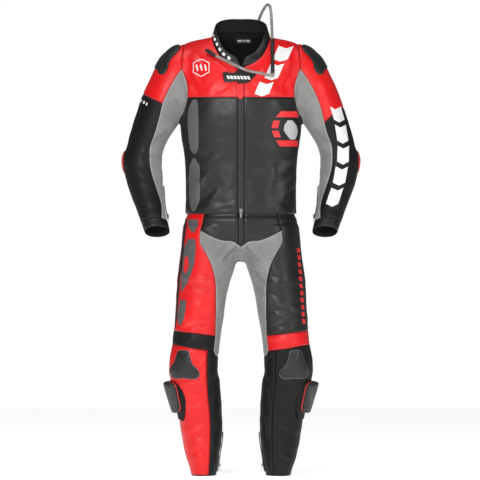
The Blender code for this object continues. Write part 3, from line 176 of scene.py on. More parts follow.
# Seams shared by both sides: name, number of steps, key points
SEAMS = (
    ("neck_front", 5, (NECK_C, ("front", 12, 64), ("front", 20, 58), ("front", 26, 48), NECK_S)),
    ("neck_back", 4, (NECK_S, ("back", 27, 33.5), ("back", 15, 30.8), NECK_B)),
    ("shoulder", 4, (NECK_S, ("at", 36, 38.4, 2), ("at", 46, 40.3, 2), SHOULDER)),
    ("armhole_f1", 4, (SHOULDER, ("front", 57.5, 50), ("front", 58.8, 60), APEX_F)),
    ("armhole_f2", 3, (APEX_F, ("front", 55, 80), ("front", 53.3, 90), CHEST_S)),
    ("armhole_f3", 2, (CHEST_S, ("front", 56.5, 110), ARMPIT)),
    ("armhole_b1", 4, (SHOULDER, ("back", 57.5, 50), ("back", 58.8, 60), APEX_B)),
    ("armhole_b2", 3, (APEX_B, ("back", 56.5, 80), ("back", 54.5, 90), BACK_S)),
    ("armhole_b3", 2, (BACK_S, ("back", 57, 110), ARMPIT)),
    ("centre_yoke", 7, (NECK_C, ("front", 2.9, 83), CHEST_C)),
    ("chest", 9, (CHEST_C, ("front", 28, 98.3), CHEST_S)),
    ("back_chest", 8, (("back", 0, 98.3), ("back", 28, 98.3), BACK_S)),
    ("centre_low", 11, (CHEST_C, ("front", 2.9, 156), HEM_C)),
    ("side", 9, (ARMPIT, ("trunk", 0, 140), ("trunk", 0, 175), HEM_S)),
    ("hem_front", 9, (HEM_C, ("front", 26, HEM_ROW), ("trunk", 45, HEM_ROW), HEM_S)),
    ("hem_back", 8, (HEM_B, ("back", 26, HEM_ROW), ("trunk", -45, HEM_ROW), HEM_S)),
    ("cuff_out", 8, (CUFF_F, ("arm", 90, 217.8), ("arm", 45, 220), ("arm", 0, 223.5), ("arm", -45, 227.5),
                     ("arm", -90, 229.5), CUFF_B)),
    ("cuff_in", 10, (CUFF_F, ("arm", 150, 219.3), ("arm", 180, 221.8), ("arm", 210, 225.5), CUFF_B)),
    ("waist_front", 4, (WAIST_C, ("front", 20, WAIST_ROW), WAIST_F)),
    ("waist_side", 8, (WAIST_F, ("trunk", 35, WAIST_ROW), WAIST_S)),
    ("waist_back", 5, (WAIST_B, ("back", 26, WAIST_ROW), ("trunk", -45, WAIST_ROW), WAIST_S)),
    ("fly_side", 5, (WAIST_C, ("front", 2.5, 225), FLY_END)),
    ("waist_edge", 5, (WAIST_F, ("front", 37.8, 216), HIP_F)),
    ("crotch_front", 4, (FLY_END, ("front", 6.4, 242.2), ("front", 18.3, 240.4), ("front", 26, 237.8), HIP_F)),
    ("fly_foot", 1, (FLY_END, FLY_TIP)),
    ("crotch_under", 3, (FLY_TIP, ("at", 0, 258, -20), CROTCH)),
    ("seat_foot", 5, (CROTCH, ("back", 12, 267), ("back", 25, 271.5), SEAT_END)),
    ("hip_side", 5, (WAIST_S, ("trunk", -8, 226), ("leg", -34, 248), SEAT_END)),
    ("thigh_front", 9, (HIP_F, ("front", 41, 242.3), ("front", 35, 253), ("front", 28.5, 267.2),
                        ("front", 25.3, 281.3), ("front", 24.8, 308.5), KNEE_F)),
    ("thigh_back", 9, (SEAT_END, ("back", 37, 300), KNEE_B)),
    ("knee_top", 8, (KNEE_F, ("front", 45, 333), ("front", 60, 331.3), ("leg", 0, 330.3), ("leg", -45, 329.6),
                     KNEE_B)),
    ("band_front", 2, (KNEE_F, BAND_F)),
    ("band_back", 2, (KNEE_B, BAND_B)),
    ("band_step", 1, (BAND_F, BAND_S)),
    ("band_foot", 7, (BAND_S, ("front", 48, 347.6), ("front", 60, 345.4), ("leg", 0, 344), ("leg", -45, 343.3),
                      BAND_B)),
    ("knee_inner", 13, (BAND_F, ("leg", 150, 354), ("leg", 180, 356), ("leg", 210, 353), BAND_B)),
    ("calf_front", 10, (BAND_S, ("front", 33.6, 363), ("front", 33, 391.4), ("front", 31, 411.8),
                        ("front", 31, 452.7), ANKLE_F)),
    ("calf_back", 10, (BAND_B, ("back", 39, 400), ("back", 38, 440), ANKLE_B)),
    ("ankle_out", 7, (ANKLE_F, ("leg", 45, 475), ("leg", 0, 475), ("leg", -45, 475), ANKLE_B)),
    ("ankle_in", 14, (ANKLE_F, ("leg", 140, 475), ("leg", 180, 475), ("leg", 220, 475), ANKLE_B)),
)

# Edge of the stretch sleeve panel, and the seam between the two colours of the sleeve, which sits
# lower on the wearer's left
STRETCH_EDGE = ((65, 78), (70.6, 87.5), (75.3, 97), (79, 106.5), (82, 120), (86, 134),
                (90.3, 146), (91, 157), (88.5, 175), (83.5, 190), (79, 205))
SLEEVE_SPLIT = {"_r": ((78.3, 104.2), (88, 99.5), 94.5, (88, 100.5), (78.3, 106)),
                "_l": ((83, 122.9), (91.5, 115), 107.5, (92, 116), (83, 122.9))}
UPPER_STEPS = 5
LOWER_STEPS = 9

# Collar rim from the front to the side and from the side to the back: pixels from the middle, row, depth in mm
RIM_FRONT = ((3, 60, -94), (7, 57, -91), (13, 53.6, -81), (19, 46.5, -66), (23.2, 37, -46),
             (25.8, 30, -22))
RIM_BACK = ((25.8, 30, -22), (25.6, 25, 4), (21, 21, 31), (12, 18.8, 47), (0, 18.6, 52))
COLLAR_BULGE = 0.0022

# Row of the cuff's open edge: middle, tilt from front to back, tilt from outer to inner side
CUFF_EDGE = (231.6, -5.6, 1.0)

# Plates on the panels: outline keys, centre key, then in mm the lift, the height at the edge and the further
# height at the centre where it is crowned
CUP_EDGE = ((60.5, 48.6), (63.8, 53.4), (68.4, 58.4), (71.6, 64.2), (72.9, 70), (76.4, 74.8), (80.4, 75.2),
            (82.6, 71.6))
SHOULDER_CUP = ((*(("front", *k) for k in CUP_EDGE), ("arm", 0, 68.5),
                 *(("back", *k) for k in CUP_EDGE[::-1]), ("at", 62, 45.5, 0)),
                ("at", 79, 60, 0), 2, 3.8, 1.6)
ELBOW_CUP = ((("arm", 16, 161), ("arm", 8, 155), ("arm", -22, 150.5), ("arm", -54, 154), ("arm", -62, 162),
              ("arm", -52, 170.5), ("arm", -22, 173.5), ("arm", 8, 167.5)),
             ("arm", -22, 162), 1, 3, 3)
KNEE_CUP = ((("front", 51.8, 350.8), ("front", 57, 350), ("front", 61.6, 350.8), ("front", 63.6, 356),
             ("front", 65.8, 362.5), ("front", 69, 367.4), ("front", 69.8, 371.5), ("front", 68, 375.6),
             ("front", 63, 377.6), ("front", 56, 377.2), ("front", 49, 378), ("front", 43.2, 377.2),
             ("front", 40.8, 373), ("front", 43.4, 368.4), ("front", 47.6, 364), ("front", 50.4, 356)),
            ("front", 55.5, 367), 1.3, 3.6, 2.6)
KNEE_SHIFT = {"_r": 0.6, "_l": -2.4}
SLIDER_PANEL = ((("front", 64.5, 382.5), ("front", 60, 387), ("front", 56, 395), ("front", 55, 410),
                 ("front", 57.5, 420.5), ("leg", 22, 419), ("leg", -12, 418), ("leg", -40, 412),
                 ("leg", -48, 399), ("leg", -40, 386), ("leg", -12, 381), ("leg", 18, 380)),
                ("leg", 4, 400), 1.6, 2.9, 0)
SLIDER = ((("leg", 38, 383), ("leg", 41, 396), ("leg", 38, 409), ("leg", 8, 412), ("leg", -22, 409),
           ("leg", -25, 396), ("leg", -22, 383), ("leg", 8, 380)),
          ("leg", 8, 396))
SLIDER_BASE_MM = (4, 8)
PUCK_MM = (8.4, 24, 17, 2.5)
CHEST_TAB = ((("front", -18, 74.2), ("front", -17.6, 78), ("front", -17, 82.2), ("front", -5, 83),
              ("front", 7.2, 83.8), ("front", 11.6, 79.8), ("front", 15.1, 75.6), ("front", 6, 73.6),
              ("front", -3.5, 71.9), ("front", -6.4, 74)),
             ("front", -2, 78.5), 2.45, 4.05)
ZIP_COVER = ((("front", -4.4, 85), ("front", -1, 85), ("front", 2.5, 85), ("front", 2.6, 91),
              ("front", 2.6, 97), ("front", 0, 100.4), ("front", -4.2, 97.6), ("front", -4.3, 91)),
             ("front", -0.9, 92), 2.5, 4.1)
HUMP = ((("back", 0, 43), ("back", 11, 46), ("back", 17, 57), ("back", 17.5, 76), ("back", 14, 95),
         ("back", 7, 109), ("back", 0, 112)),
        ("back", 0, 70), 0.55, 3.4, 32)
HUMP_WALL = 3.0
# Widths of the plates' rounded edges in mm, and the slot in each knee cup: its pixel, row and depth in mm
CUP_BEVEL, PANEL_BEVEL, FLAT_BEVEL, PUCK_BEVEL = 3.0, 2.0, 1.2, 6.0
KNEE_SLOT, KNEE_SLOT_DEPTH = (55.0, 353.2), 2.0

# Zips: the laid-on tapes' half width, under side and top, and the slider, in metres
STRIP_HALF = 0.0060
STRIP_LIFT = 0.0010
STRIP_TOP = 0.0020
SLIDER_HALF = (0.0042, 0.0060)
SLIDER_DEPTH = 0.0022
MAIN_SLIDER_ROW = 211.0
CUFF_ZIP = ((186, 186), (186, 203), (186, 218.5), 216)
ANKLE_ZIP = ((176, 432), (176, 452), (176, 471.5), 464)

# Drink hose: routes as pixels from the middle, row and depth in mm, and the tubes' radii in mm
HOSE_ROUTE = ((7.33, 50.87, 119.2), (8.2, 48.6, 128.5), (10.2, 42.5, 130.5), (13.9, 31, 112),
              (17.6, 19.8, 82), (22, 9.8, 54), (26.3, 4.4, 27), (28.7, 6, 4), (30, 13, -14),
              (30.5, 22.3, -28), (30.9, 31, -37.5), (31, 37.9, -47.5), (31, 40.08, -51.4))
SLEEVE_ROUTE = ((31, 40.2, -51.6, 5.6), (31.1, 46, -62, 5.6), (31.2, 52, -74.5, 5.6), (31.3, 55.2, -80, 5.6),
                (31.3, 56.4, -82, 4.7), (31.3, 60, -88, 4.7), (31.3, 61.2, -89.8, 5.6),
                (31.3, 68, -98.5, 5.6), (31.3, 74.4, -105.8, 5.6))
ELBOW_ROUTE = ((31.3, 74.53, -105.95), (31.2, 76, -107.6), (30.4, 76.8, -109.3), (29, 76.68, -111.1),
               (27, 76.2, -112.2))
MOUTH_ROUTE = ((26.87, 76.17, -112.3), (19, 74.3, -116.5), (12.8, 73.3, -118.5), (6, 71.6, -119),
               (0, 69.2, -117), (-6, 66.4, -112.5), (-12.7, 63.1, -106), (-19, 59.9, -98.5),
               (-25.2, 56.9, -91))
VALVE_ROUTE = ((-25.32, 56.84, -90.85, 4.6), (-26.7, 56.2, -89.2, 6.2), (-30, 54, -84.5, 6.2),
               (-33, 52, -79, 6.2), (-34.8, 50.8, -76, 4.5))
HOSE_RADIUS = 4.5


def between(y, slope, i, step, t):
    """The cubic curve from point i to the next that has the given slopes there, read at share t of the step."""
    return (y[i] * (1 + 2 * t) * (1 - t) ** 2 + slope[i] * step * t * (1 - t) ** 2
            + y[i + 1] * t * t * (3 - 2 * t) + slope[i + 1] * step * t * t * (t - 1))


def table_lookup(table):
    """A smooth curve through each column of the table, read at every quarter row."""
    data = np.array(table, float)
    x = data[:, 0]
    y = data[:, 1:]
    step = np.diff(x)[:, None]
    rise = np.diff(y, axis=0) / step
    slope = np.zeros_like(y)
    both = rise[:-1] * rise[1:] > 0
    slope[1:-1] = np.where(both, 2 * rise[:-1] * rise[1:] / np.where(both, rise[:-1] + rise[1:], 1.0), 0.0)
    slope[0] = rise[0]
    slope[-1] = rise[-1]
    rows = np.arange(x[0], x[-1] + 0.01, 0.25)
    i = np.clip(np.searchsorted(x, rows, side="right") - 1, 0, len(x) - 2)
    t = ((rows - x[i]) / (x[i + 1] - x[i]))[:, None]
    return rows, between(y, slope, i, step[i], t)


TRUNK_AT = table_lookup(TRUNK)
ARM_AT = table_lookup(ARM)
LEG_AT = table_lookup(LEG)


def read(lookup, rows):
    """The columns of a looked-up table at these rows."""
    at, values = lookup
    return [np.interp(rows, at, values[:, i]) for i in range(values.shape[1])]


def trunk_section(rows):
    """Centre x and y, half width and half depth in metres, and roundness."""
    half, front, back, roundness = read(TRUNK_AT, rows)
    return 0 * half, (back - front) / 2000, half * PX, (front + back) / 2000, roundness


def arm_section(rows):
    """The same five for an arm, whose centre lies beside the trunk's."""
    centre, half, forward, depth, roundness = read(ARM_AT, rows)
    return centre * PX, -forward / 1000, half * PX, depth / 1000, roundness


def leg_section(rows):
    """The same five for a leg."""
    outer, inner, front, back, roundness = read(LEG_AT, rows)
    return ((outer + inner) / 2 * PX, (back - front) / 2000, (outer - inner) / 2 * PX, (front + back) / 2000,
            roundness)


SECTIONS = {"trunk": trunk_section, "arm": arm_section, "leg": leg_section}


def tube_distance(x, y, section):
    """Distance, nearly, from a rounded section in its own plane; negative inside."""
    cx, cy, a, b, n = section
    p = np.abs(x - cx) / a
    q = np.abs(y - cy) / b
    rho = np.maximum((p**n + q**n) ** (1 / n), 1e-4)
    slope = np.sqrt((p ** (n - 1) / a) ** 2 + (q ** (n - 1) / b) ** 2) * rho ** (1 - n)
    return (rho - 1) / np.maximum(slope, 1.0)


def merge(f, g, width):
    """The union of two forms with a smooth blend of this width."""
    h = np.clip(0.5 + 0.5 * (g - f) / width, 0, 1)
    return g * (1 - h) + f * h - width * h * (1 - h)


def fold_height(x, y, rows):
    """How far the folds push the cloth out at these points."""
    total = np.zeros_like(x)
    for side, y0, y1, h0, r0, h1, r1, width, height in FOLDS:
        across = np.abs(x) / PX
        dx = h1 - h0
        dr = r1 - r0
        t = np.clip(((across - h0) * dx + (rows - r0) * dr) / (dx * dx + dr * dr), 0, 1)
        apart = np.hypot(across - h0 - t * dx, rows - r0 - t * dr)
        inside = 1 / (1 + np.exp(-np.clip((y * 1000 - y0) / 6, -30, 30)))
        inside = inside / (1 + np.exp(np.clip((y * 1000 - y1) / 6, -30, 30)))
        if side:
            inside = inside * (x * side > 0)
        total += height / 1000 * inside * np.exp(-((apart / width) ** 2)) * np.sin(np.pi * np.clip(t, 0.1, 0.9))
    return total


def form(points):
    """Negative inside the suit's outer surface, in metres near it."""
    x, y, z = points[..., 0], points[..., 1], points[..., 2]
    rows = NECK_ROW - z / PX
    side = np.sqrt(x * x + CENTRE_BLEND**2) - CENTRE_BLEND / 3
    trunk = tube_distance(x, y, trunk_section(rows)) + np.maximum(rows - TRUNK[-1][0], 0) * PX
    past_end = np.maximum(ARM[0][0] - rows, 0) + 3 * np.maximum(rows - ARM[-1][0], 0)
    arm = tube_distance(side, y, arm_section(rows)) + past_end * PX
    leg = tube_distance(side, y, leg_section(rows)) + np.maximum(LEG[0][0] - rows, 0) * PX * 1.5
    blend = np.interp(rows, [r for r, _ in ARMHOLE_BLEND], [w / 1000 for _, w in ARMHOLE_BLEND])
    body = merge(trunk, arm, blend)
    return merge(body, leg, CROTCH_BLEND) - fold_height(x, y, rows)


def gradient(points):
    """The form's slope at these points, from steps of 0.4 mm to both sides along each axis."""
    step = 0.0004
    parts = []
    for axis in range(3):
        move = np.zeros(3)
        move[axis] = step
        parts.append((form(points + move) - form(points - move)) / (2 * step))
    return np.stack(parts, axis=-1)


def unit(ways):
    """The same directions with length 1."""
    return ways / np.maximum(np.linalg.norm(ways, axis=-1, keepdims=True), 1e-12)


def settle(points, rounds=8):
    """Moves points onto the form along its own slope."""
    points = np.array(points, float)
    for _ in range(rounds):
        slope = gradient(points)
        size = np.maximum((slope**2).sum(-1, keepdims=True), 0.05)
        move = -form(points)[..., None] * slope / size
        length = np.maximum(np.linalg.norm(move, axis=-1, keepdims=True), 1e-12)
        points += move * np.minimum(1, 0.012 / length)
    return points


def normals(points):
    """The form's outward directions at these points."""
    return unit(gradient(points))


def height_of(row):
    """Z of a photo row in metres."""
    return (NECK_ROW - row) * PX


def key_point(key):
    """The point on the form that a key names."""
    kind, first, row = key[:3]
    z = height_of(row)
    if kind in SECTIONS:
        cx, cy, a, b, _ = [float(v) for v in SECTIONS[kind](float(row))]
        turn = np.radians(first)
        start = np.array([cx + a * np.cos(turn), cy - b * np.sin(turn), z])
        return settle(start[None])[0]
    x = first * PX
    if kind == "at":
        point = settle(np.array([[x, key[3] / 1000, z]]))[0]
        return point * (x != 0, 1, 1)
    way = 1 if kind == "front" else -1
    depth = np.linspace(-0.26, 0.26, 521) * way
    line = np.stack([np.full_like(depth, x), depth, np.full_like(depth, z)], axis=-1)
    value = form(line)
    first_in = int(np.argmax(value < 0))
    low, high = depth[first_in - 1], depth[first_in]
    for _ in range(30):
        mid = (low + high) / 2
        if form(np.array([x, mid, z])) < 0:
            high = mid
        else:
            low = mid
    return np.array([x, high, z])


def smooth_line(points, steps, on_form=True, loop=0):
    """A smooth curve through the points, cut into steps of equal length.

    With loop the points overlap by three at the ends, and the curve is cut to one closed round.
    """
    points = np.array(points, float)
    if len(points) > 2 or on_form:
        gaps = np.linalg.norm(np.diff(points, axis=0), axis=1)
        slope = np.empty_like(points)
        rise = np.diff(points, axis=0) / gaps[:, None]
        slope[0] = rise[0]
        slope[-1] = rise[-1]
        for i in range(1, len(points) - 1):
            slope[i] = (rise[i - 1] * gaps[i] + rise[i] * gaps[i - 1]) / (gaps[i - 1] + gaps[i])
        dense = []
        for i, gap in enumerate(gaps):
            t = np.linspace(0, 1, 17)[:-1, None]
            dense.append(between(points, slope, i, gap, t))
        if loop:
            dense = dense[2:-1]
            line = np.concatenate(dense)
            line = np.concatenate([line, line[:1]])
            steps = loop
        else:
            line = np.concatenate(dense + [points[-1:]])
    else:
        line = points
    if on_form:
        line[1:-1] = settle(line[1:-1])
    length, _ = arc_lengths(line, 0)
    goal = np.linspace(0, length[-1], steps + 1)
    found = np.stack([np.interp(goal, length, line[:, i]) for i in range(3)], axis=1)
    if on_form and steps > 1:
        found[1:-1] = settle(found[1:-1])
    return found[:-1] if loop else found


def join(*parts):
    """One edge from seams that meet end to end."""
    return np.concatenate([parts[0]] + [part[1:] for part in parts[1:]])


def mirrored(points):
    """The same points on the wearer's other side."""
    return points * (-1, 1, 1)


def patch(top, bottom, left, right):
    """A grid of points between four edges: a blend of the edges, settled on the form."""
    nu, nv = len(top), len(left)
    u = np.linspace(0, 1, nu)[None, :, None]
    v = np.linspace(0, 1, nv)[:, None, None]
    grid = ((1 - v) * top[None] + v * bottom[None] + (1 - u) * left[:, None] + u * right[:, None]
            - (1 - u) * (1 - v) * top[0] - u * (1 - v) * top[-1] - (1 - u) * v * bottom[0] - u * v * bottom[-1])
    grid[1:-1, 1:-1] = settle(grid[1:-1, 1:-1], 10)
    return grid


def inset(grid, normal, gap, closed=False):
    """Moves the grid's edges into the panel by this much, along the surface."""
    moved = grid.copy()
    edges = [(grid[0], grid[1], (0, slice(None))), (grid[-1], grid[-2], (-1, slice(None)))]
    if not closed:
        edges += [(grid[:, 0], grid[:, 1], (slice(None), 0)), (grid[:, -1], grid[:, -2], (slice(None), -1))]
    for edge, inner, where in edges:
        along = unit(np.gradient(edge, axis=0))
        way = inner - edge
        way -= (way * along).sum(-1, keepdims=True) * along
        way -= (way * normal[where]).sum(-1, keepdims=True) * normal[where]
        moved[where] += unit(way) * gap
    return moved


def tuck(points, normal):
    """The trousers' waist goes inside the jacket's hem."""
    rows = NECK_ROW - points[..., 2] / PX
    t = np.clip((rows - HEM_ROW - 0.5) / 6.0, 0, 1)
    depth = TUCK * (1 - t * t * (3 - 2 * t))
    return points - normal * depth[..., None]


def round_line(points, count):
    """A closed smooth curve through the points, cut into equal steps."""
    points = np.array(points, float)
    return smooth_line(np.concatenate([points[-2:], points, points[:2]]), 8 * (len(points) + 3), loop=count)


def seam_points():
    """Every seam by name, as points on the wearer's left; the sleeve's own end in _r or _l."""
    seams = {name: smooth_line([key_point(k) for k in keys], steps * FINE) for name, steps, keys in SEAMS}
    for end, (first, _, low, _, second) in SLEEVE_SPLIT.items():
        for view, split, name in (("front", first, "f"), ("back", second, "b")):
            apex = APEX_F if view == "front" else APEX_B
            cuff = CUFF_F if view == "front" else CUFF_B
            above = [(view, *k) for k in STRETCH_EDGE if k[1] < split[1] - 3]
            below = [(view, *k) for k in STRETCH_EDGE if k[1] > split[1] + 3]
            keys = [apex, *above, (view, *split), *below, cuff]
            at = len(above) + 1
            points = [key_point(k) for k in keys]
            seams["stretch_up_" + name + end] = smooth_line(points[: at + 1], UPPER_STEPS * FINE)
            seams["stretch_low_" + name + end] = smooth_line(points[at:], LOWER_STEPS * FINE)
        front, middle, low, rear, back = SLEEVE_SPLIT[end]
        keys = [("front", *front), ("front", *middle), ("arm", 0.0, low), ("back", *rear), ("back", *back)]
        seams["split" + end] = smooth_line([key_point(k) for k in keys], 8 * FINE)
    return seams


# Creases: side (1 wearer's left, -1 right, 0 both), facing (1 front, -1 back, 0 all round), both ends as
# pixels from the middle and photo rows, bend in pixels, half width in pixels, height in mm
CREASES = ((-1, 1, 50, 56, 38, 70, 2, 3, 2.2), (-1, 1, 46, 62, 40, 84, -2, 2.6, 1.6),
           (-1, 1, 52, 84, 44, 97, 1, 2.4, 2.2), (-1, 1, 26, 64, 10, 76, 2, 2.6, 1.8),
           (-1, 1, 22, 82, 34, 96, 1, 3.6, 1.4), (-1, 1, 10, 86, 24, 96, 0, 2.8, -1.2),
           (1, 1, 48, 54, 40, 72, -2, 3, 2), (1, 1, 50, 74, 42, 92, 1.5, 2.8, -1.6),
           (1, 1, 24, 68, 12, 78, -2, 2.4, 1.6), (1, 1, 14, 84, 30, 94, 1, 3, 1.2),
           (0, 1, 62, 88, 57, 108, 2, 2.2, 2.6), (0, 1, 60, 100, 56, 116, 1, 1.8, -2),
           (0, 0, 68, 100, 61, 118, 1.5, 1.8, 1.8), (0, 0, 74, 128, 84, 136, 1, 2, 1.8),
           (0, 0, 78, 138, 94, 146, 1, 2.2, -2.4), (0, 0, 80, 146, 98, 154, 1.5, 2.2, 2.6),
           (0, 0, 80, 158, 96, 160, -1.5, 2, -2.2), (0, 0, 80, 166, 92, 172, 1, 2, 2),
           (0, 0, 82, 178, 90, 184, 1, 2, 1.4), (-1, 1, 98, 176, 108, 170, 1, 3, 2),
           (-1, 1, 94, 186, 104, 182, 1, 3.4, 1.6), (1, 1, 92, 192, 102, 186, 1, 3, 1.6),
           (0, 1, 84, 206, 96, 203, 1, 2.2, 1.6), (0, 1, 83, 212, 94, 210, 1, 2, -1.4),
           (1, 1, 52, 158, 38, 176, 3, 4, 2.4), (1, 1, 50, 174, 36, 196, 3, 3.6, 3),
           (1, 1, 54, 186, 42, 206, 2, 3.2, -2.4), (1, 1, 34, 170, 24, 190, 2, 4.4, 1.4),
           (-1, 1, 32, 176, 44, 196, -2, 4.4, 1.8), (-1, 1, 22, 186, 36, 206, -2, 3.8, -1.4),
           (-1, 1, 14, 150, 30, 162, 2, 5, 1.2), (1, 1, 12, 140, 30, 152, -2, 5.4, 1.2),
           (0, 1, 4, 205, 52, 210, 1, 2, 1), (0, 1, 1.5, 247, 10, 255, 1.5, 1.2, -4.6),
           (0, 1, 3, 245, 15, 256, 1.5, 1.5, -4.4), (0, 1, 6, 242.5, 18, 258, 2, 1.7, 3.6),
           (0, 1, 10, 242, 23, 262, 2, 2.2, 3.2), (0, 1, 14, 244, 30, 266, 2, 2.6, -1.8),
           (0, 1, 8, 262, 22, 272, 1.5, 2.2, 2), (0, 1, 14, 274, 25, 285, 1, 2, -2.2),
           (0, 1, 15, 281, 25, 292, 1, 2.2, 2.2), (0, 1, 17, 296, 24, 306, 1, 2.2, 1.4),
           (-1, 1, 26, 284, 60, 277, 2, 2.6, 2.6), (-1, 1, 27, 292, 56, 284, 2, 2.8, -1.8),
           (-1, 1, 26, 312, 52, 304, 1, 3.4, 1.2), (-1, 1, 28, 322, 62, 328, -2, 2.4, 2.2),
           (-1, 1, 27, 330, 52, 322, 2, 2, 1.8), (1, 1, 24, 283, 34, 296, 2, 2.6, -2.4),
           (1, 1, 28, 264, 40, 276, 2, 3.4, 1.8), (1, 1, 30, 300, 54, 310, 2, 3.2, 2.6),
           (1, 1, 30, 312, 56, 304, 2, 2.8, -2.2), (1, 1, 30, 326, 50, 314, 2, 2.6, 2.6),
           (1, 1, 34, 330, 56, 326, 1, 2.4, 1.6), (-1, 1, 28, 338, 58, 342, -1, 2.6, 1.2),
           (1, 1, 28, 340, 58, 336, 1, 2.6, 1.2), (-1, 1, 34, 354, 44, 366, 2, 2.4, 2.2),
           (-1, 1, 33, 364, 40, 378, 1, 2.2, 1.6), (0, 1, 34, 384, 58, 386, -2, 2.6, 2),
           (0, 1, 34, 392, 54, 388, 3, 2.6, -2), (-1, 1, 35, 400, 50, 408, 2, 3, 1.8),
           (0, 1, 34, 424, 56, 432, 2, 3, 2.2), (0, 1, 34, 440, 54, 428, 2, 2.8, -2),
           (0, 1, 35, 448, 52, 450, -1.5, 2.4, 1.4), (0, 1, 35, 456, 50, 459, 1.5, 1.8, 1.4),
           (0, 1, 36, 462, 48, 464, -1.5, 1.6, -1.2), (0, 1, 36, 468, 46, 468, 1, 1.5, 1.2),
           (0, 1, 24, 362, 29, 386, 1, 2, 1.8), (0, 1, 26, 380, 30, 408, -1, 2, -1.8),
           (0, 1, 24, 410, 29, 448, 1, 2, 1.6), (0, -1, 8, 60, 44, 84, 4, 4, 2),
           (0, -1, 12, 118, 46, 128, 3, 4.6, 1.8), (0, -1, 6, 160, 44, 172, 3, 4, 2.4),
           (0, -1, 8, 172, 46, 186, -3, 3.8, -2.2), (0, -1, 4, 190, 40, 196, 2, 3.6, 2.6),
           (0, -1, 6, 204, 48, 208, 1.5, 2.6, 1.6), (0, -1, 6, 236, 30, 252, 3, 3.6, 2),
           (0, -1, 10, 254, 34, 268, 2, 3, -2.2), (0, -1, 28, 276, 56, 284, 3, 3.4, 2.4),
           (0, -1, 24, 300, 58, 308, -3, 3.4, 1.6), (0, -1, 28, 338, 62, 344, 2, 2.8, 2),
           (0, -1, 24, 356, 64, 360, -2, 2.6, -3), (0, -1, 24, 366, 62, 370, 2, 2.6, 3),
           (0, -1, 24, 376, 60, 378, -2, 2.6, -2.4), (0, -1, 28, 408, 56, 416, 2, 3.4, 1.8),
           (0, -1, 30, 440, 54, 446, -2, 2.8, 1.8), (0, -1, 32, 458, 50, 460, 1, 2.2, 1.6),
           (0, -1, 72, 116, 94, 124, 2, 3, 1.8), (0, -1, 84, 178, 104, 186, 2, 2.6, 1.8),
           (0, -1, 82, 198, 98, 206, 2, 2.4, 1.6))

# Slow swells of the cloth: wavelength and height in mm
SWELLS = ((110, 0.9), (52, 0.45), (24, 0.16))
GROOVE_REACH = 3.2


def waves(points, wavelength, seed):
    """Soft noise between about -1 and 1: a sum of seven plane sine waves in scattered directions."""
    rng = np.random.default_rng(seed)
    way = unit(rng.normal(size=(7, 3)))
    pitch = 2 * np.pi / wavelength * rng.uniform(0.7, 1.4, 7)
    phase = rng.uniform(0, 2 * np.pi, 7)
    bent = points + 0.15 * wavelength * np.sin(points[..., ::-1] * (2 * np.pi / wavelength / 1.7) + seed)
    return np.sin(bent @ (way * pitch[:, None]).T + phase).sum(-1) / 4.2


def crease_height(points, normal):
    """Height of the creases and swells: beside each crease line a ridge and a shallower trough."""
    h, rows = points[..., 0] / PX, NECK_ROW - points[..., 2] / PX
    total = sum(height / 1000 * waves(points, size / 1000, n + 3) for n, (size, height) in enumerate(SWELLS))
    front = np.clip(0.5 - 1.6 * normal[..., 1], 0, 1)
    for side, facing, h0, r0, h1, r1, bend, width, height in CREASES:
        for end in ((side,) if side else (-1, 1)):
            dx, dr = (h1 - h0) * end, r1 - r0
            length = np.hypot(dx, dr)
            near = (np.abs(rows - (r0 + r1) / 2) < abs(dr) / 2 + 16) & (h * end > 0)
            if not near.any():
                continue
            px, pr = h[near] - h0 * end, rows[near] - r0
            t = (px * dx + pr * dr) / length**2
            jog = 0.02 * end + 0.3 * np.sin(7 * t + r0)
            apart = (px * dr - pr * dx) / length * end + (bend + jog) * np.sin(np.pi * np.clip(t, 0, 1))
            past = np.maximum(np.maximum(-t, t - 1), 0) * length / width
            shown = front[near] if facing > 0 else 1 - front[near] if facing < 0 else 1.0
            ends = np.exp(-past**2) * np.sin(np.pi * np.clip(t, 0.06, 0.94)) ** 0.7
            ridge = np.exp(-(((apart - 0.35 * width) / width) ** 2))
            trough = np.exp(-(((apart + 0.9 * width) / (0.8 * width)) ** 2))
            total[near] += height / 1000 * shown * ends * (ridge - 0.75 * trough)
    return total * bpy.context.scene.suit_sizes.crease_scale


def arc_lengths(grid, axis):
    """Distance along the grid's lines from their start, and each line's whole length."""
    step = np.linalg.norm(np.diff(grid, axis=axis), axis=-1)
    start = np.zeros_like(np.take(step, [0], axis=axis))
    run = np.concatenate([start, np.cumsum(step, axis=axis)], axis=axis)
    return run, np.take(run, [-1], axis=axis)


def shell_mesh(outer, inner, closed=False):
    """Points and square faces of a closed wall between two grids of the same shape."""
    nv, nu = outer.shape[:2]
    index = np.arange(nv * nu).reshape(nv, nu)
    if closed:
        index = np.concatenate([index, index[:, :1]], axis=1)
    a, b, c, d = index[:-1, :-1], index[:-1, 1:], index[1:, 1:], index[1:, :-1]
    front = np.stack([a, b, c, d], axis=-1).reshape(-1, 4)
    back = front[:, ::-1] + nv * nu
    if closed:
        loops = [index[0], index[-1][::-1]]
    else:
        loops = [np.concatenate([index[0], index[1:, -1], index[-1, -2::-1], index[-2::-1, 0]])]
    rims = [np.stack([r[1:], r[:-1], r[:-1] + nv * nu, r[1:] + nv * nu], axis=-1) for r in loops]
    return np.concatenate([outer.reshape(-1, 3), inner.reshape(-1, 3)]), [front, back, *rims]


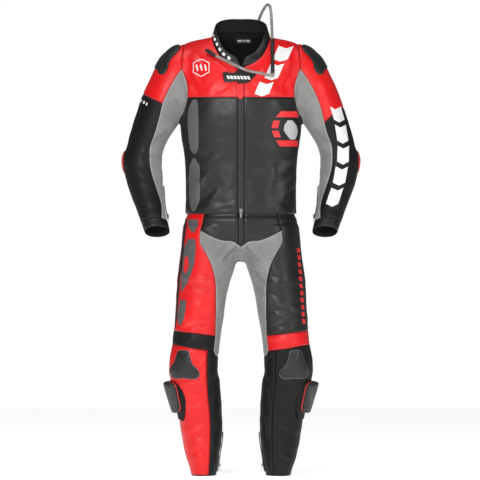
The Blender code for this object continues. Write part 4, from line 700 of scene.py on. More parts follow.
def add_piece(name, points, groups, looks, slot, stands_for=(), body="suit", facts=None, smooth=2):
    """A mesh object from points and groups of faces, of which the first few, as smooth says, are shaded smooth.

    looks is one material, or one for each group. facts are named values at each point.
    """
    mesh = bpy.data.meshes.new(name)
    faces = [face for group in groups for face in group.tolist()]
    mesh.from_pydata(points.tolist(), [], faces)
    soft = np.concatenate([np.full(len(g), i < smooth) for i, g in enumerate(groups)])
    looks = looks if isinstance(looks, (list, tuple)) else [looks]
    which = np.concatenate([np.full(len(g), min(i, len(looks) - 1)) for i, g in enumerate(groups)])
    flat = [np.stack([g[:, 0], g[:, i], g[:, i + 1]], 1) for g in groups for i in range(1, g.shape[1] - 1)]
    corners = points[np.concatenate(flat)]
    for look in looks:
        mesh.materials.append(look)
    mesh.polygons.foreach_set("use_smooth", soft)
    mesh.polygons.foreach_set("material_index", which.astype(np.int32))
    for fact, values in (facts or {}).items():
        kind = "FLOAT_VECTOR" if np.ndim(values) == 2 else "FLOAT"
        attribute = mesh.attributes.new(fact, kind, "POINT")
        field = "vector" if kind == "FLOAT_VECTOR" else "value"
        attribute.data.foreach_set(field, np.ravel(values).astype(np.float32))
    if np.linalg.det(corners).sum() < 0:
        mesh.flip_normals()
    mesh.update()
    obj = bpy.data.objects.new(name, mesh)
    bpy.context.scene.collection.objects.link(obj)
    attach(obj, body)
    if stands_for:
        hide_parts(*stands_for)
    return obj


def fill(tree, node, inputs):
    """Set or link a node's sockets, given in order or by name: each a plain value or another node's socket."""
    for key, value in inputs.items() if isinstance(inputs, dict) else enumerate(inputs):
        if isinstance(value, bpy.types.NodeSocket):
            tree.links.new(value, node.inputs[key])
        else:
            node.inputs[key].default_value = value


def add_node(tree, kind, inputs=(), out=0, **settings):
    """One node with its settings and links, given back as the output that is numbered or named out."""
    node = tree.nodes.new("ShaderNode" + kind)
    for name, value in settings.items():
        setattr(node, name, value)
    fill(tree, node, inputs)
    return node.outputs[out]


def linear(colour):
    """An sRGB hex colour as the linear values that shaders use."""
    if not isinstance(colour, str):
        return (*colour, 1.0)
    values = np.array([int(colour[i : i + 2], 16) / 255 for i in (1, 3, 5)])
    found = np.where(values <= 0.04045, values / 12.92, ((values + 0.055) / 1.055) ** 2.4)
    return (*map(float, found), 1.0)


def start_material(name, roughness, ior=1.5, metallic=0.0, coat=0.0, sheen=0.0):
    """A new material with its shader's plain values set, and add_node for its tree."""
    found = bpy.data.materials.new(name)
    found.use_nodes = True
    fill(found.node_tree, found.node_tree.nodes["Principled BSDF"],
         {"Roughness": roughness, "IOR": ior, "Metallic": metallic, "Coat Weight": coat,
          "Coat Roughness": 0.25, "Sheen Weight": sheen, "Sheen Roughness": 0.5})
    return found, partial(add_node, found.node_tree)


def finish_material(found, node, colour, layers, sockets):
    """Lay colours over the first one, each by its share, and link the result and the sockets to the shader."""
    base = linear(colour)
    for share, over in layers:
        base = node("Mix", {0: share, 6: base, 7: linear(over)}, 2, data_type="RGBA")
    fill(found.node_tree, found.node_tree.nodes["Principled BSDF"], {"Base Color": base, **sockets})
    return found


def texture(node, kind, size_mm, inputs=None, stretch=(1, 1, 1), **settings):
    """A procedural texture on Object coordinates whose cells are about this many mm."""
    where = node("Mapping", {"Vector": node("TexCoord", out="Object"), "Scale": stretch})
    return node(kind, {"Vector": where, "Scale": 1000.0 / size_mm, **(inputs or {})}, **settings)


# Stitching in mm: the width drawn, twice a real 0.8 mm so that it shows, and each row's distance from the seam;
# then the share of a stitch's length that is thread
STITCH_WIDTH, STITCH_INWARD, STITCH_SHARE = 1.5, 4.2, 0.68
# Pitch of the stretch cloth's yarn and ribs in mm
YARN_PITCH, RIB_PITCH = 2.4, 3.2


def leather(name, colour, ridge_highlight, dark, roughness=0.42, thread=None, ior=1.42):
    """Full-grain cowhide, drum-dyed and finished with a thin satin coat.

    It shows a pebbled grain and a slightly uneven dye, a painted highlight that makes the ridges of creases
    paler, and painted shade that darkens the grooves at the seams. Thread is the colour of its stitching.
    """
    found, node = start_material(name, roughness, ior=ior, coat=0.04)
    cloud = texture(node, "TexNoise", 70, {"Detail": 3})
    crease = node("Attribute", out="Fac", attribute_name="crease_mm")
    # painted highlight: a paler colour on the ridges of the creases
    ridge = node("Clamp", (node("Math", (crease, 0.22, -0.12), operation="MULTIPLY_ADD"), 0, 0.5))
    seam = node("Attribute", out="Fac", attribute_name="seam_mm")
    layers = [(node("Math", (cloud, 0.55), operation="MULTIPLY"), dark), (ridge, ridge_highlight),
              # painted shade: darker in the groove along each seam
              (node("MapRange", (seam, 0.2, 2.6, 0.75, 0)), dark)]
    if thread:
        length = bpy.context.scene.suit_sizes.stitch_length * 1000
        along = node("Attribute", out="Fac", attribute_name="along_mm")
        gap = node("Math", (node("Math", (seam, STITCH_INWARD), operation="SUBTRACT"),), operation="ABSOLUTE")
        row = node("Math", (gap, STITCH_WIDTH / 2), operation="LESS_THAN")
        turn = node("Math", (node("Math", (along, length), operation="DIVIDE"),), operation="FRACT")
        dash = node("Math", (turn, STITCH_SHARE), operation="LESS_THAN")
        layers.append((node("Math", (row, dash), operation="MULTIPLY"), thread))
    grain = texture(node, "TexVoronoi", 2.6, feature="DISTANCE_TO_EDGE")
    fine = texture(node, "TexNoise", 9, {"Detail": 4})
    height = node("Math", [node("Math", (part, share), operation="MULTIPLY")
                           for part, share in ((grain, 0.6), (fine, 0.8))], operation="ADD")
    return finish_material(found, node, colour, layers, {
        "Normal": node("Bump", {"Strength": 0.35, "Distance": 0.0006, "Height": height}),
        "Roughness": node("MapRange", (cloud, 0, 1, roughness - 0.07, roughness + 0.10))})


def stretch_cloth(name, colour, shade, thread):
    """Aramid-and-elastane stretch cloth, woven with fine ribs: matt, with soft sheen, a ribbed weave and painted
    shade in the crease troughs.
    """
    found, node = start_material(name, 0.82, sheen=0.25)
    lie = node("Attribute", out="Vector", attribute_name="lie_mm")
    rows = [node("Math", (node("SeparateXYZ", (lie,), axis), 2 * np.pi / pitch), operation="MULTIPLY")
            for axis, pitch in enumerate((YARN_PITCH, RIB_PITCH))]
    yarn, rib = (node("Math", (row,), operation="SINE") for row in rows)
    crease = node("Attribute", out="Fac", attribute_name="crease_mm")
    seam = node("Attribute", out="Fac", attribute_name="seam_mm")
    gap = node("Math", (node("Math", (seam, 3), operation="SUBTRACT"),), operation="ABSOLUTE")
    height = node("Math", (rib, node("Math", (yarn, 0.5), operation="MULTIPLY")), operation="ADD")
    layers = [(texture(node, "TexNoise", 60, {"Detail": 2}), shade),
              (node("Math", (rib, 0.10, 0.10), operation="MULTIPLY_ADD"), shade),
              # painted shade: darker in the crease troughs
              (node("MapRange", (crease, -2.2, 0, 0.6, 0)), shade),
              (node("Math", (gap, 0.8), operation="LESS_THAN"), thread)]
    return finish_material(found, node, colour, layers,
                           {"Normal": node("Bump", {"Strength": 0.3, "Distance": 0.0004, "Height": height})})


def moulded(name, colour, shade, roughness, scuff=0.2):
    """Injection-moulded plastic or rubber: an even colour, a fine spark-eroded texture and faint scuffs."""
    found, node = start_material(name, roughness)
    cloud = texture(node, "TexNoise", 30, {"Detail": 5, "Roughness": 0.65})
    streak = texture(node, "TexNoise", 14, {"Detail": 4}, (1, 1, 0.16))
    grain = texture(node, "TexNoise", 1.4, {"Detail": 2})
    return finish_material(found, node, colour, [(node("Math", (cloud, 0.7), operation="MULTIPLY"), shade)], {
        "Normal": node("Bump", {"Strength": 0.25, "Distance": 0.0003, "Height": grain}),
        "Roughness": node("MapRange", (streak, 0.35, 0.7, roughness - scuff / 2, roughness + scuff))})


def perforated(name, colour, hole, pitch):
    """Moulded armour shell with a square grid of small round holes, drawn as dark dots of painted shade with a
    dip.
    """
    found, node = start_material(name, 0.42)
    where = node("TexCoord", out="Object")
    rows = [node("Math", (node("SeparateXYZ", (where,), axis), 2000 * np.pi / pitch), operation="MULTIPLY")
            for axis in (0, 2)]
    crossed = node("Math", [node("Math", (row,), operation="COSINE") for row in rows], operation="ADD")
    field = node("MapRange", (node("Attribute", out="Fac", attribute_name="inward_mm"), 6, 9))
    # painted shade: dark dots where the holes are
    dots = node("Math", (node("MapRange", (crossed, 0.7, 1.2)), field), operation="MULTIPLY")
    return finish_material(found, node, colour, [(dots, hole)], {
        "Normal": node("Bump", {"Strength": 0.8, "Distance": 0.0012, "Height": dots}, invert=True)})


def woven(name, colour, shade, pitch, sheen=0.3):
    """Woven tape, fleece or hook-and-loop: crossed threads with a little fuzz."""
    found, node = start_material(name, 0.9, sheen=sheen)
    threads = texture(node, "TexVoronoi", pitch)
    fuzz = node("Math", (threads, texture(node, "TexNoise", 18, {"Detail": 4})), operation="ADD")
    return finish_material(found, node, colour, [(node("Math", (fuzz, 0.6), operation="MULTIPLY"), shade)], {
        "Normal": node("Bump", {"Strength": 0.6, "Distance": 0.0008, "Height": threads})})


def metal(name, colour, shade, roughness):
    """Zinc alloy, cast and nickel plated: bright, with fine tumbling marks."""
    found, node = start_material(name, roughness, metallic=1.0)
    mark = texture(node, "TexNoise", 2, {"Detail": 5}, (1, 1, 0.3))
    return finish_material(found, node, colour, [(mark, shade)], {
        "Roughness": node("MapRange", (mark, 0, 1, roughness - 0.08, roughness + 0.16))})


def clear_tube(name, colour, shade):
    """Extruded polyurethane tube, clear and slightly smoky: glossy, and light passes through its wall."""
    found, node = start_material(name, 0.16, ior=1.49)
    cloud = texture(node, "TexNoise", 25, {"Detail": 2})
    return finish_material(found, node, colour, [(cloud, shade)], {
        "Transmission Weight": 0.55, "Roughness": node("MapRange", (cloud, 0, 1, 0.10, 0.24))})


LOOKS = {}


def make_materials():
    """The suit's finishes, each named for the real material; one is a darker copy of the black cowhide, painted
    shade.
    """
    colours = bpy.context.scene.suit_colours
    LOOKS.update(
        red=leather("red_cowhide", tuple(colours.red), "#F2403E", "#A30D13", 0.42, "#A8141A"),
        black=leather("black_cowhide", tuple(colours.black), "#3C3C3B", "#0C0C0C", 0.40, "#101010"),
        # Painted shade: the black cowhide at half its colour, and matter, for the lower sleeves, the inner
        # calves, one knee band and one shin
        deep=leather("matt_black_cowhide_shaded", tuple(0.5 * v for v in colours.black), "#262625", "#060606", 0.60,
                     "#2A2A2A", ior=1.33),
        plain_red=leather("red_placket_leather", tuple(colours.red), "#F2403E", "#A30D13", 0.45),
        grey=stretch_cloth("grey_stretch_cloth", tuple(colours.grey), "#6B6B69", "#A9A9A6"),
        tape=woven("black_zip_tape", "#1A1A1B", "#0B0B0C", 1.6),
        lining=woven("black_mesh_lining", "#0C0C0C", "#040404", 3.0, sheen=0.0),
        fleece=woven("hook_and_loop_fabric", "#0B0B0B", "#030303", 2.4, sheen=0.03),
        shell=moulded("black_tpu_shell", "#222525", "#141616", 0.42),
        puck=moulded("black_nylon_puck", "#2B2F2F", "#1B1E1E", 0.50, scuff=0.3),
        red_plastic=moulded("red_abs_plastic", "#D93A3A", "#B02226", 0.38),
        rubber=moulded("black_rubber", "#1B1B1C", "#0E0E0F", 0.55),
        metal=metal("nickel_plated_zinc", "#A2A3A5", "#6A6B6E", 0.30),
        clear=clear_tube("clear_polyurethane", "#C9C5BE", "#8C8983"),
        white=moulded("white_print_film", "#F1F0F0", "#DDDCDC", 0.45, scuff=0.1),
        grey_film=moulded("grey_print_film", "#5C5C5C", "#4A4A4A", 0.5, scuff=0.1),
        red_film=moulded("red_print_film", "#EC2B2D", "#CF1C22", 0.42, scuff=0.1),
        piping=moulded("grey_piping", "#77777A", "#4E4E50", 0.55),
        holes=perforated("perforated_tpu", "#1B1E1E", "#020202", 7.0),
        dark=leather("dark_cowhide", "#151515", "#2C2C2B", "#070707", 0.46, "#242424"),
        placket=leather("black_placket_leather", "#2A2A2A", "#3A3A39", "#0A0A0A", 0.5),
        edge=moulded("black_edge_film", "#0D0D0D", "#060606", 0.5, scuff=0.1),
        pale_film=moulded("pale_grey_print_film", "#C4C4C2", "#9E9E9C", 0.45, scuff=0.1),
    )


SHEETS = {}


def twice(values):
    """One value for each point of a wall's outer face, and again for its inner face."""
    flat = values.reshape(-1, *values.shape[2:])
    return np.concatenate([flat, flat])


def area_of(grid):
    """Area of a grid's surface, from the diagonals of its squares."""
    crossed = np.cross(grid[1:, 1:] - grid[:-1, :-1], grid[1:, :-1] - grid[:-1, 1:])
    return float(np.linalg.norm(crossed, axis=-1).sum() / 2)


def cloth(name, grid, look, slot, side=1, gap=SEAM_GAP, trousers=False, hangs_on=()):
    """A sewn panel as a closed thin shell, from its grid on the form.

    The outer face is the grid plus its normal times a height: creases and swells, less a groove that
    follows the seams and fades as exp(-(distance / width) squared). The inner face lies a wall below.
    """
    normal = normals(grid)
    placed = inset(grid, normal, gap / 2)
    if trousers:
        placed = tuck(placed, normal)
    if side < 0:
        placed, normal = mirrored(placed), mirrored(normal)
    across, width = arc_lengths(placed, 1)
    down, length = arc_lengths(placed, 0)
    edges = np.stack([across, width - across, down, length - down])
    seam = edges.min(0) * 1000
    which = edges.argmin(0)
    along = np.where(which < 2, down, across) * 1000
    crease = crease_height(placed, normal)
    depth = bpy.context.scene.suit_sizes.groove_depth
    fade = 1 - np.exp(-((seam / 7.0) ** 2))
    height = crease * fade - depth * np.exp(-((seam / GROOVE_REACH) ** 2))
    outer = placed + normal * height[..., None]
    inner = placed + normal * (height - WALL)[..., None]
    points, groups = shell_mesh(outer, inner)
    lie = np.stack([across * 1000, down * 1000, 0 * across], axis=-1)
    facts = {"seam_mm": twice(seam), "along_mm": twice(along), "crease_mm": twice(crease * fade * 1000),
             "lie_mm": twice(lie)}
    looks = [LOOKS[look], LOOKS["lining"], LOOKS["dark"]]
    obj = add_piece(name, points, groups, looks, slot, (name,), facts=facts)
    flat = (float(width.max()), float(length.max()))
    SHEETS[name] = (obj, flat, min(area_of(grid), flat[0] * flat[1]), hangs_on)
    return obj


def declare_sheets():
    """Each panel's cut size: its greatest width and length along the cloth, and its area."""
    for obj, (width, length), area, hangs_on in SHEETS.values():
        area = max(area, 0.31 * width * length)


# Panels of each side: name, then the top, bottom, left and right edge, each as seams that meet end to end, where
# @ stands for the side's ending and a minus turns a seam round; then the look and what the panel hangs on
JACKET = (
    ("front_yoke@", "neck_front shoulder", "chest", "centre_yoke", "armhole_f1 armhole_f2", "red", "back_yoke"),
    ("front_lower@", "chest", "hem_front", "centre_low", "armhole_f3 side", "black", "front_yoke@"),
    ("sleeve_upper@", "-armhole_f1 armhole_b1", "split@", "stretch_up_f@", "stretch_up_b@", "red", "front_yoke@"),
    ("sleeve_lower@", "split@", "cuff_out", "stretch_low_f@", "stretch_low_b@", "deep", "sleeve_upper@"),
    ("sleeve_inner@", "armhole_f2 armhole_f3 -armhole_b3 -armhole_b2", "cuff_in",
     "stretch_up_f@ stretch_low_f@", "stretch_up_b@ stretch_low_b@", "grey", "front_yoke@ back_yoke"),
)
TROUSERS = (
    ("front_waist@", "waist_front", "crotch_front", "fly_side", "waist_edge", "black", "outer_thigh@"),
    ("outer_thigh@", "waist_side", "knee_top", "waist_edge thigh_front", "hip_side thigh_back",
     {-1: "red", 1: "black"}, "seat"),
    ("inner_thigh@", "-crotch_front fly_foot crotch_under seat_foot", "knee_inner", "thigh_front band_front",
     "thigh_back band_back", "grey", "front_waist@ seat"),
    ("knee_band@", "knee_top", "band_step band_foot", "band_front", "band_back", {-1: "deep", 1: "red"},
     "outer_thigh@"),
    ("shin@", "band_foot", "ankle_out", "calf_front", "calf_back", {-1: "red", 1: "deep"}, "knee_band@"),
    ("calf_inner@", "-band_step knee_inner", "ankle_in", "calf_front", "calf_back", "deep", "inner_thigh@"),
)
TUCKED = ("front_waist", "outer_thigh")
SLOTS = {"red": "red_leather", "black": "black_leather", "deep": "black_leather", "grey": "grey_stretch"}


def edge_of(s, names):
    """One edge from the names of its seams."""
    return join(*(s[name[1:]][::-1] if name[0] == "-" else s[name] for name in names.split()))


def side_panels(s, table):
    """Both sides' panels from their table."""
    for end, side in SIDES:
        for name, *edges, look, hangs_on in table:
            look = look if isinstance(look, str) else look[side]
            cloth(name.replace("@", end), patch(*(edge_of(s, names.replace("@", end)) for names in edges)), look,
                  SLOTS[look], side, trousers=name[:-1] in TUCKED, hangs_on=hangs_on.replace("@", end).split())


def whole_edges(s, *names):
    """Edges that run across the back, from the wearer's right to the left."""
    return [join(mirrored(edge)[::-1], edge) for edge in (edge_of(s, name) for name in names)]


def jacket_cloth(s):
    """The jacket's twelve panels, each between four seams."""
    side_panels(s, JACKET)
    neck, chest, hem = whole_edges(s, "-neck_back shoulder", "back_chest", "hem_back")
    for name, top, bottom, side, look, hangs_on in (
            ("back_yoke", neck, chest, edge_of(s, "armhole_b1 armhole_b2"), "red", "collar"),
            ("back_lower", chest, hem, edge_of(s, "armhole_b3 side"), "black", "back_yoke")):
        cloth(name, patch(top, bottom, mirrored(side), side), look, SLOTS[look], hangs_on=[hangs_on])


def trouser_cloth(s):
    """The trousers' thirteen panels; the tops of five of them are tucked inside the jacket's hem."""
    side_panels(s, TROUSERS)
    waist, foot = whole_edges(s, "waist_back", "seat_foot")
    cloth("seat", patch(waist, foot, mirrored(s["hip_side"]), s["hip_side"]), "black", "black_leather",
          gap=2 * SEAM_GAP, trousers=True, hangs_on=["outer_thigh_l", "outer_thigh_r"])


def ankle_binding(s):
    """Black leather binding round the foot of each leg."""
    ring = join(s["ankle_out"], s["ankle_in"][::-1])[:-1]
    ring = ring - (0, 0, 0.0003)
    for end, side in SIDES:
        path = (ring - normals(ring) * 0.0008) * (side, 1, 1)
        add_piece("ankle_binding" + end, *tube_mesh(path + (0, 0, 0.0012), 0.0017, 8, closed=True),
                  LOOKS["dark"], "black_leather")


def grid_normals(grid):
    """Normals of a free grid, from its own steps."""
    across = np.gradient(grid, axis=1)
    down = np.gradient(grid, axis=0)
    return unit(np.cross(down, across))


def spots(route):
    """A route of (pixels, row, depth) as points in metres."""
    return np.array([(h * PX, y / 1000, height_of(row)) for h, row, y in route])


def tube_mesh(path, radius, around=12, closed=False):
    """A round tube along a path: at each point a circle in the plane square to the path.

    The circles' axes are carried along the path without twist. radius is one number or one for each point.
    """
    path = np.asarray(path, float)
    along = np.roll(path, -1, 0) - np.roll(path, 1, 0) if closed else np.gradient(path, axis=0)
    along = unit(along)
    side = np.cross(along[0], (0, 0, 1) if abs(along[0, 2]) < 0.9 else (1, 0, 0))
    sides = []
    for way in along:
        side = unit(side - (side @ way) * way)
        sides.append(side)
    sides = np.array(sides)
    ups = np.cross(along, sides)
    turn = np.linspace(0, 2 * np.pi, around, endpoint=False)
    size = np.broadcast_to(np.asarray(radius, float), len(path))[:, None, None]
    ring = path[:, None] + size * (np.cos(turn)[None, :, None] * sides[:, None]
                                   + np.sin(turn)[None, :, None] * ups[:, None])
    count = len(path)
    index = np.arange(count * around).reshape(count, around)
    index = np.concatenate([index, index[:, :1]], axis=1)
    if closed:
        drift = np.argmin(np.linalg.norm(ring[-1] - ring[0, 0], axis=1))
        last = np.roll(index[0, :-1], drift)
        index = np.concatenate([index, np.append(last, last[0])[None]])
    quads = np.stack([index[:-1, :-1], index[1:, :-1], index[1:, 1:], index[:-1, 1:]], axis=-1).reshape(-1, 4)
    points = ring.reshape(-1, 3)
    if closed:
        return points, [quads]
    first, last = index[0], index[-1]
    points = np.concatenate([points, path[:1], path[-1:]])
    caps = [np.stack([first[:-1], first[1:], np.full(around, count * around)], 1),
            np.stack([last[1:], last[:-1], np.full(around, count * around + 1)], 1)]
    return points, [quads, *caps]


def join_meshes(*parts):
    """Several (points, groups) as one."""
    at, points, groups = 0, [], []
    for some, faces in parts:
        points.append(some)
        groups += [g + at for g in faces]
        at += len(some)
    return np.concatenate(points), groups


def dome_mesh(outline, centre, share, top, low):
    """A closed body over an outline: rings from the edge, share 0, to the centre, share 1.

    top and low give the heights of its upper and lower face above the form, in mm, from the rings' points,
    their share and their distance from the edge in mm.
    """
    rings = centre + (outline[None] - centre) * (1 - share[:, None, None])
    rings = settle(rings, 8)
    up = normals(rings)
    inward = share[:, None] * np.linalg.norm(outline - centre, axis=1)[None] * 1000
    spread = np.broadcast_to(share[:, None], inward.shape)
    high = top(rings, spread, inward)
    below = low(rings, spread, inward) if callable(low) else np.full_like(high, low)
    outer = rings + up * high[..., None] / 1000
    inner = rings + up * below[..., None] / 1000
    points, groups = shell_mesh(outer, inner, closed=True)
    nv, nu = inward.shape
    last = (nv - 1) * nu + np.arange(nu)
    caps = [np.stack([last, np.roll(last, -1), np.full(nu, len(points))], 1),
            np.stack([np.roll(last, -1) + nv * nu, last + nv * nu, np.full(nu, len(points) + 1)], 1)]
    points = np.concatenate([points, outer[-1].mean(0)[None], inner[-1].mean(0)[None]])
    facts = {"inward_mm": np.concatenate([inward.reshape(-1), 0 * inward.reshape(-1), inward[-1, :1], [0]])}
    return points, [groups[0], groups[2], caps[0], groups[1], caps[1]], facts


def rounded(inward, height, low, bevel):
    """A height that rises from low at the edge to its full value in a quarter round as wide as bevel."""
    t = np.clip(inward / bevel, 0, 1)
    return low + (height - low) * (0.25 + 0.75 * np.sqrt(1 - (1 - t) ** 2))


def outline_of(keys, centre, around, shift=0.0):
    """A plate's closed outline and its centre, moved outward by shift in pixels."""
    keys = [(k[0], k[1] + shift, *k[2:]) if k[0] == "front" else k for k in (*keys, centre)]
    placed = np.array([key_point(k) for k in keys])
    return round_line(placed[:-1], around), placed[-1]


# Steps round a plate, and how far each of its rings lies from the edge to the centre
PLATE_STEPS = 110
RING_SHARE = np.array([0, 0.02, 0.05, 0.09, 0.14, 0.2, 0.27, 0.34, 0.42, 0.5, 0.58, 0.66, 0.74, 0.82, 0.9, 0.96])


def plate_piece(name, keys, centre, look, slot, low, top, side=1, shift=0.0):
    """One plate on the form, made on the wearer's left and mirrored for the right."""
    outline, middle = outline_of(keys, centre, PLATE_STEPS, shift)
    points, groups, facts = dome_mesh(outline, middle, RING_SHARE, top, low)
    facts["seam_mm"] = facts["inward_mm"]
    if side < 0:
        points = mirrored(points)
    add_piece(name, points, groups, LOOKS[look], slot, (name,), facts=facts, smooth=5)
    return outline * (side, 1, 1)


def dome(high, rise, low, bevel):
    """A top that is rounded at the edge and crowned towards the centre by rise."""
    return lambda rings, share, inward: rounded(inward, high + rise * np.sqrt(1 - (1 - share) ** 2), low, bevel)


def armour():
    """Shoulder, elbow and knee cups, with a line of piping round each knee cup."""
    for end, side in SIDES:
        for name, table, look, slot in (("shoulder_cup", SHOULDER_CUP, "shell", "black_plastic"),
                                        ("elbow_cup", ELBOW_CUP, "red_plastic", "red_plastic")):
            keys, centre, low, high, rise = table
            plate_piece(name + end, keys, centre, look, slot, low, dome(high, rise, low, CUP_BEVEL), side)
        keys, centre, low, high, rise = KNEE_CUP
        outline = plate_piece("knee_cup" + end, keys, centre, "holes", "black_plastic", low,
                                   knee_top(low, high, rise, KNEE_SHIFT[end]), side, KNEE_SHIFT[end])
        path = outline * (side, 1, 1)
        path = (path + normals(path) * 0.0016) * (side, 1, 1)
        add_piece("knee_piping" + end, *tube_mesh(path, 0.0013, 8, closed=True), LOOKS["piping"],
                  "black_plastic")


def knee_top(low, high, rise, shift):
    """The knee cup's crowned top with a sunk slot near its upper edge."""

    def top(rings, share, inward):
        h, rows = rings[..., 0] / PX, NECK_ROW - rings[..., 2] / PX
        slot = np.exp(-(((h - KNEE_SLOT[0] - shift) / 3.4) ** 4) - (((rows - KNEE_SLOT[1]) / 1.1) ** 4))
        crowned = high + rise * np.sqrt(1 - (1 - share) ** 2)
        return rounded(inward, crowned, low, CUP_BEVEL) - KNEE_SLOT_DEPTH * slot

    return top


def sliders():
    """The hook-and-loop panel, the red base and the puck on each knee."""
    for end, side in SIDES:
        keys, centre, low, high, rise = SLIDER_PANEL
        plate_piece("slider_panel" + end, keys, centre, "fleece", "loop_fabric", low,
                    dome(high, rise, low, PANEL_BEVEL), side)
        keys, centre = SLIDER
        low, high = SLIDER_BASE_MM
        plate_piece("slider_base" + end, keys, centre, "red_plastic", "red_plastic", low,
                    dome(high, 0.0, low, FLAT_BEVEL), side)
        plate_piece("slider_puck" + end, keys, centre, "puck", "black_plastic", PUCK_MM[0], puck_top, side)


def puck_top(rings, share, inward):
    """The puck is thick at its upper end and thinner at its foot, with well rounded edges."""
    low, high, foot, rise = PUCK_MM
    tall = high + (foot - high) * (rings[0, :, 2].max() - rings[..., 2]) / np.ptp(rings[0, :, 2])
    return rounded(inward, tall + rise * np.sqrt(1 - (1 - share) ** 2), low, PUCK_BEVEL)


def tabs():
    """The collar's closing tab on the chest and the red cover at the head of the zip."""
    keys, centre, low, high = CHEST_TAB
    plate_piece("chest_tab", keys, centre, "black", "black_leather", low, dome(high, 0.0, low, FLAT_BEVEL))
    keys, centre, low, high = ZIP_COVER
    plate_piece("zip_cover", keys, centre, "plain_red", "red_leather", low, dome(high, 0.0, low, FLAT_BEVEL))


def hump():
    """The aerodynamic hump: a hollow dome that is open underneath, with two sewn channels."""
    keys, centre, low, high, rise = HUMP
    whole = (*keys, *[(k[0], -k[1], k[2]) for k in keys[-2:0:-1]])

    def top(rings, share, inward):
        channel = np.exp(-(((np.abs(rings[..., 0]) / PX - 6.5) / 0.9) ** 2)) * np.clip(share * 4, 0, 1)
        return rounded(inward, high + rise * np.sqrt(1 - (1 - share) ** 2), low, 1.5) - 1.2 * channel

    def under(rings, share, inward):
        return np.where(share == 0, low, np.maximum(low, top(rings, share, inward) - HUMP_WALL))

    plate_piece("hump", whole, centre, "black", "black_leather", under, top)


# How far along the collar its ends are drawn in at the foot, in metres, and the share of the gap it closes
NOTCH_REACH, NOTCH_CLOSE = 0.012, 0.86


def collar(s):
    """A standing band from the neckline to its rim, with piping along the rim.

    Its two ends are drawn together at the neckline, so that they leave a V open at the front.
    """
    foot = join(s["neck_front"], s["neck_back"])
    rim = join(smooth_line(spots(RIM_FRONT), 5 * FINE, False), smooth_line(spots(RIM_BACK), 4 * FINE, False))
    foot = join(foot, mirrored(foot)[::-1])
    rim = join(rim, mirrored(rim)[::-1])
    foot = foot - 0.0006 * unit(foot - rim)
    share = np.linspace(0, 1, 22)[:, None, None]
    grid = foot[None] * (1 - share) + rim[None] * share
    across, width = arc_lengths(grid, 1)
    end = np.exp(-((np.minimum(across, width - across) / NOTCH_REACH) ** 2))
    grid[..., 0] *= 1 - NOTCH_CLOSE * end * (1 - share[..., 0]) ** 1.5
    normal = grid_normals(grid)
    if (normal[4, 0] * (0, -1, 0)).sum() < 0:
        normal = -normal
    grid = grid + normal * COLLAR_BULGE * np.sin(np.pi * share)
    across, width = arc_lengths(grid, 1)
    down, length = arc_lengths(grid, 0)
    seam = np.stack([across, width - across, down, length - down]).min(0) * 1000
    crease = 0.0007 * waves(grid, 0.030, 41) * (1 - np.exp(-((seam / 8.0) ** 2)))
    quilt = 0.0008 * np.exp(-(((share - 0.62) / 0.03) ** 2))[..., 0]
    outer = grid + normal * (crease - quilt - 0.0006 * np.exp(-((seam / 2.2) ** 2)))[..., None]
    inner = grid - normal * COLLAR_WALL
    points, groups = shell_mesh(outer, inner)
    facts = {"seam_mm": twice(seam), "along_mm": twice(across * 1000), "crease_mm": twice(crease * 1500)}
    obj = add_piece("collar", points, groups, [LOOKS["dark"], LOOKS["lining"], LOOKS["dark"]], "black_leather",
                    ("collar",), facts=facts)
    flat = (float(width.max()), float(length.max()))
    SHEETS["collar"] = (obj, flat, area_of(grid), ["front_yoke_l", "back_yoke"])
    edge = rim - normal[-1] * COLLAR_WALL / 2
    edge = edge - 0.0004 * unit(rim - foot)
    add_piece("collar_piping", *tube_mesh(edge, 0.0015, 8), LOOKS["dark"], "black_leather")
    inside = foot - normal[0] * (COLLAR_WALL + 0.0012)
    tape = np.stack([inside + unit(rim - foot) * h for h in (0.006, 0.003, 0.0, -0.003, -0.006)])
    add_piece("neck_tape", *shell_mesh(tape, tape - normal[0] * 0.0008), LOOKS["lining"], "black_leather")
    return grid, normal


def cuffs(s):
    """A ribbed band from the sleeve's end to the open edge."""
    top = join(s["cuff_out"], s["cuff_in"][::-1])[:-1]
    cx, cy, a, b, _ = arm_section(NECK_ROW - top[:, 2] / PX)
    turn = np.arctan2(-(top[:, 1] - cy) / b, (top[:, 0] - cx) / a)
    middle, over, across = CUFF_EDGE
    rows = middle + over * np.sin(turn) + across * np.cos(turn)
    cx, cy, a, b, _ = arm_section(rows)
    edge = settle(np.stack([cx + a * np.cos(turn), cy - b * np.sin(turn), height_of(rows)], axis=-1))
    share = np.linspace(0, 1, 13)[:, None, None]
    grid = settle(top[None] * (1 - share) + edge[None] * share)
    grid[0], grid[-1] = top, edge
    normal = normals(grid)
    placed = inset(grid, normal, SEAM_GAP / 2, closed=True)
    down, length = arc_lengths(placed, 0)
    seam = np.minimum(down, length - down) * 1000
    crease = 0.0005 * waves(placed, 0.022, 17)
    outer = placed + normal * (crease - 0.0007 * np.exp(-((seam / 2.0) ** 2)))[..., None]
    inner = placed - normal * WALL
    for end, side in SIDES:
        points, groups = shell_mesh(outer * (side, 1, 1), inner * (side, 1, 1), closed=True)
        around, _ = arc_lengths(placed, 1)
        facts = {"seam_mm": twice(seam), "along_mm": twice(around * 1000), "crease_mm": twice(crease * 1000)}
        obj = add_piece("cuff" + end, points, groups, [LOOKS["dark"], LOOKS["lining"], LOOKS["dark"]],
                        "black_leather", ("cuff" + end,), facts=facts)
        size = (float(around[0].max() + 0.003), float(length.mean()))
        SHEETS["cuff" + end] = (obj, size, size[0] * size[1], ["sleeve_lower" + end])


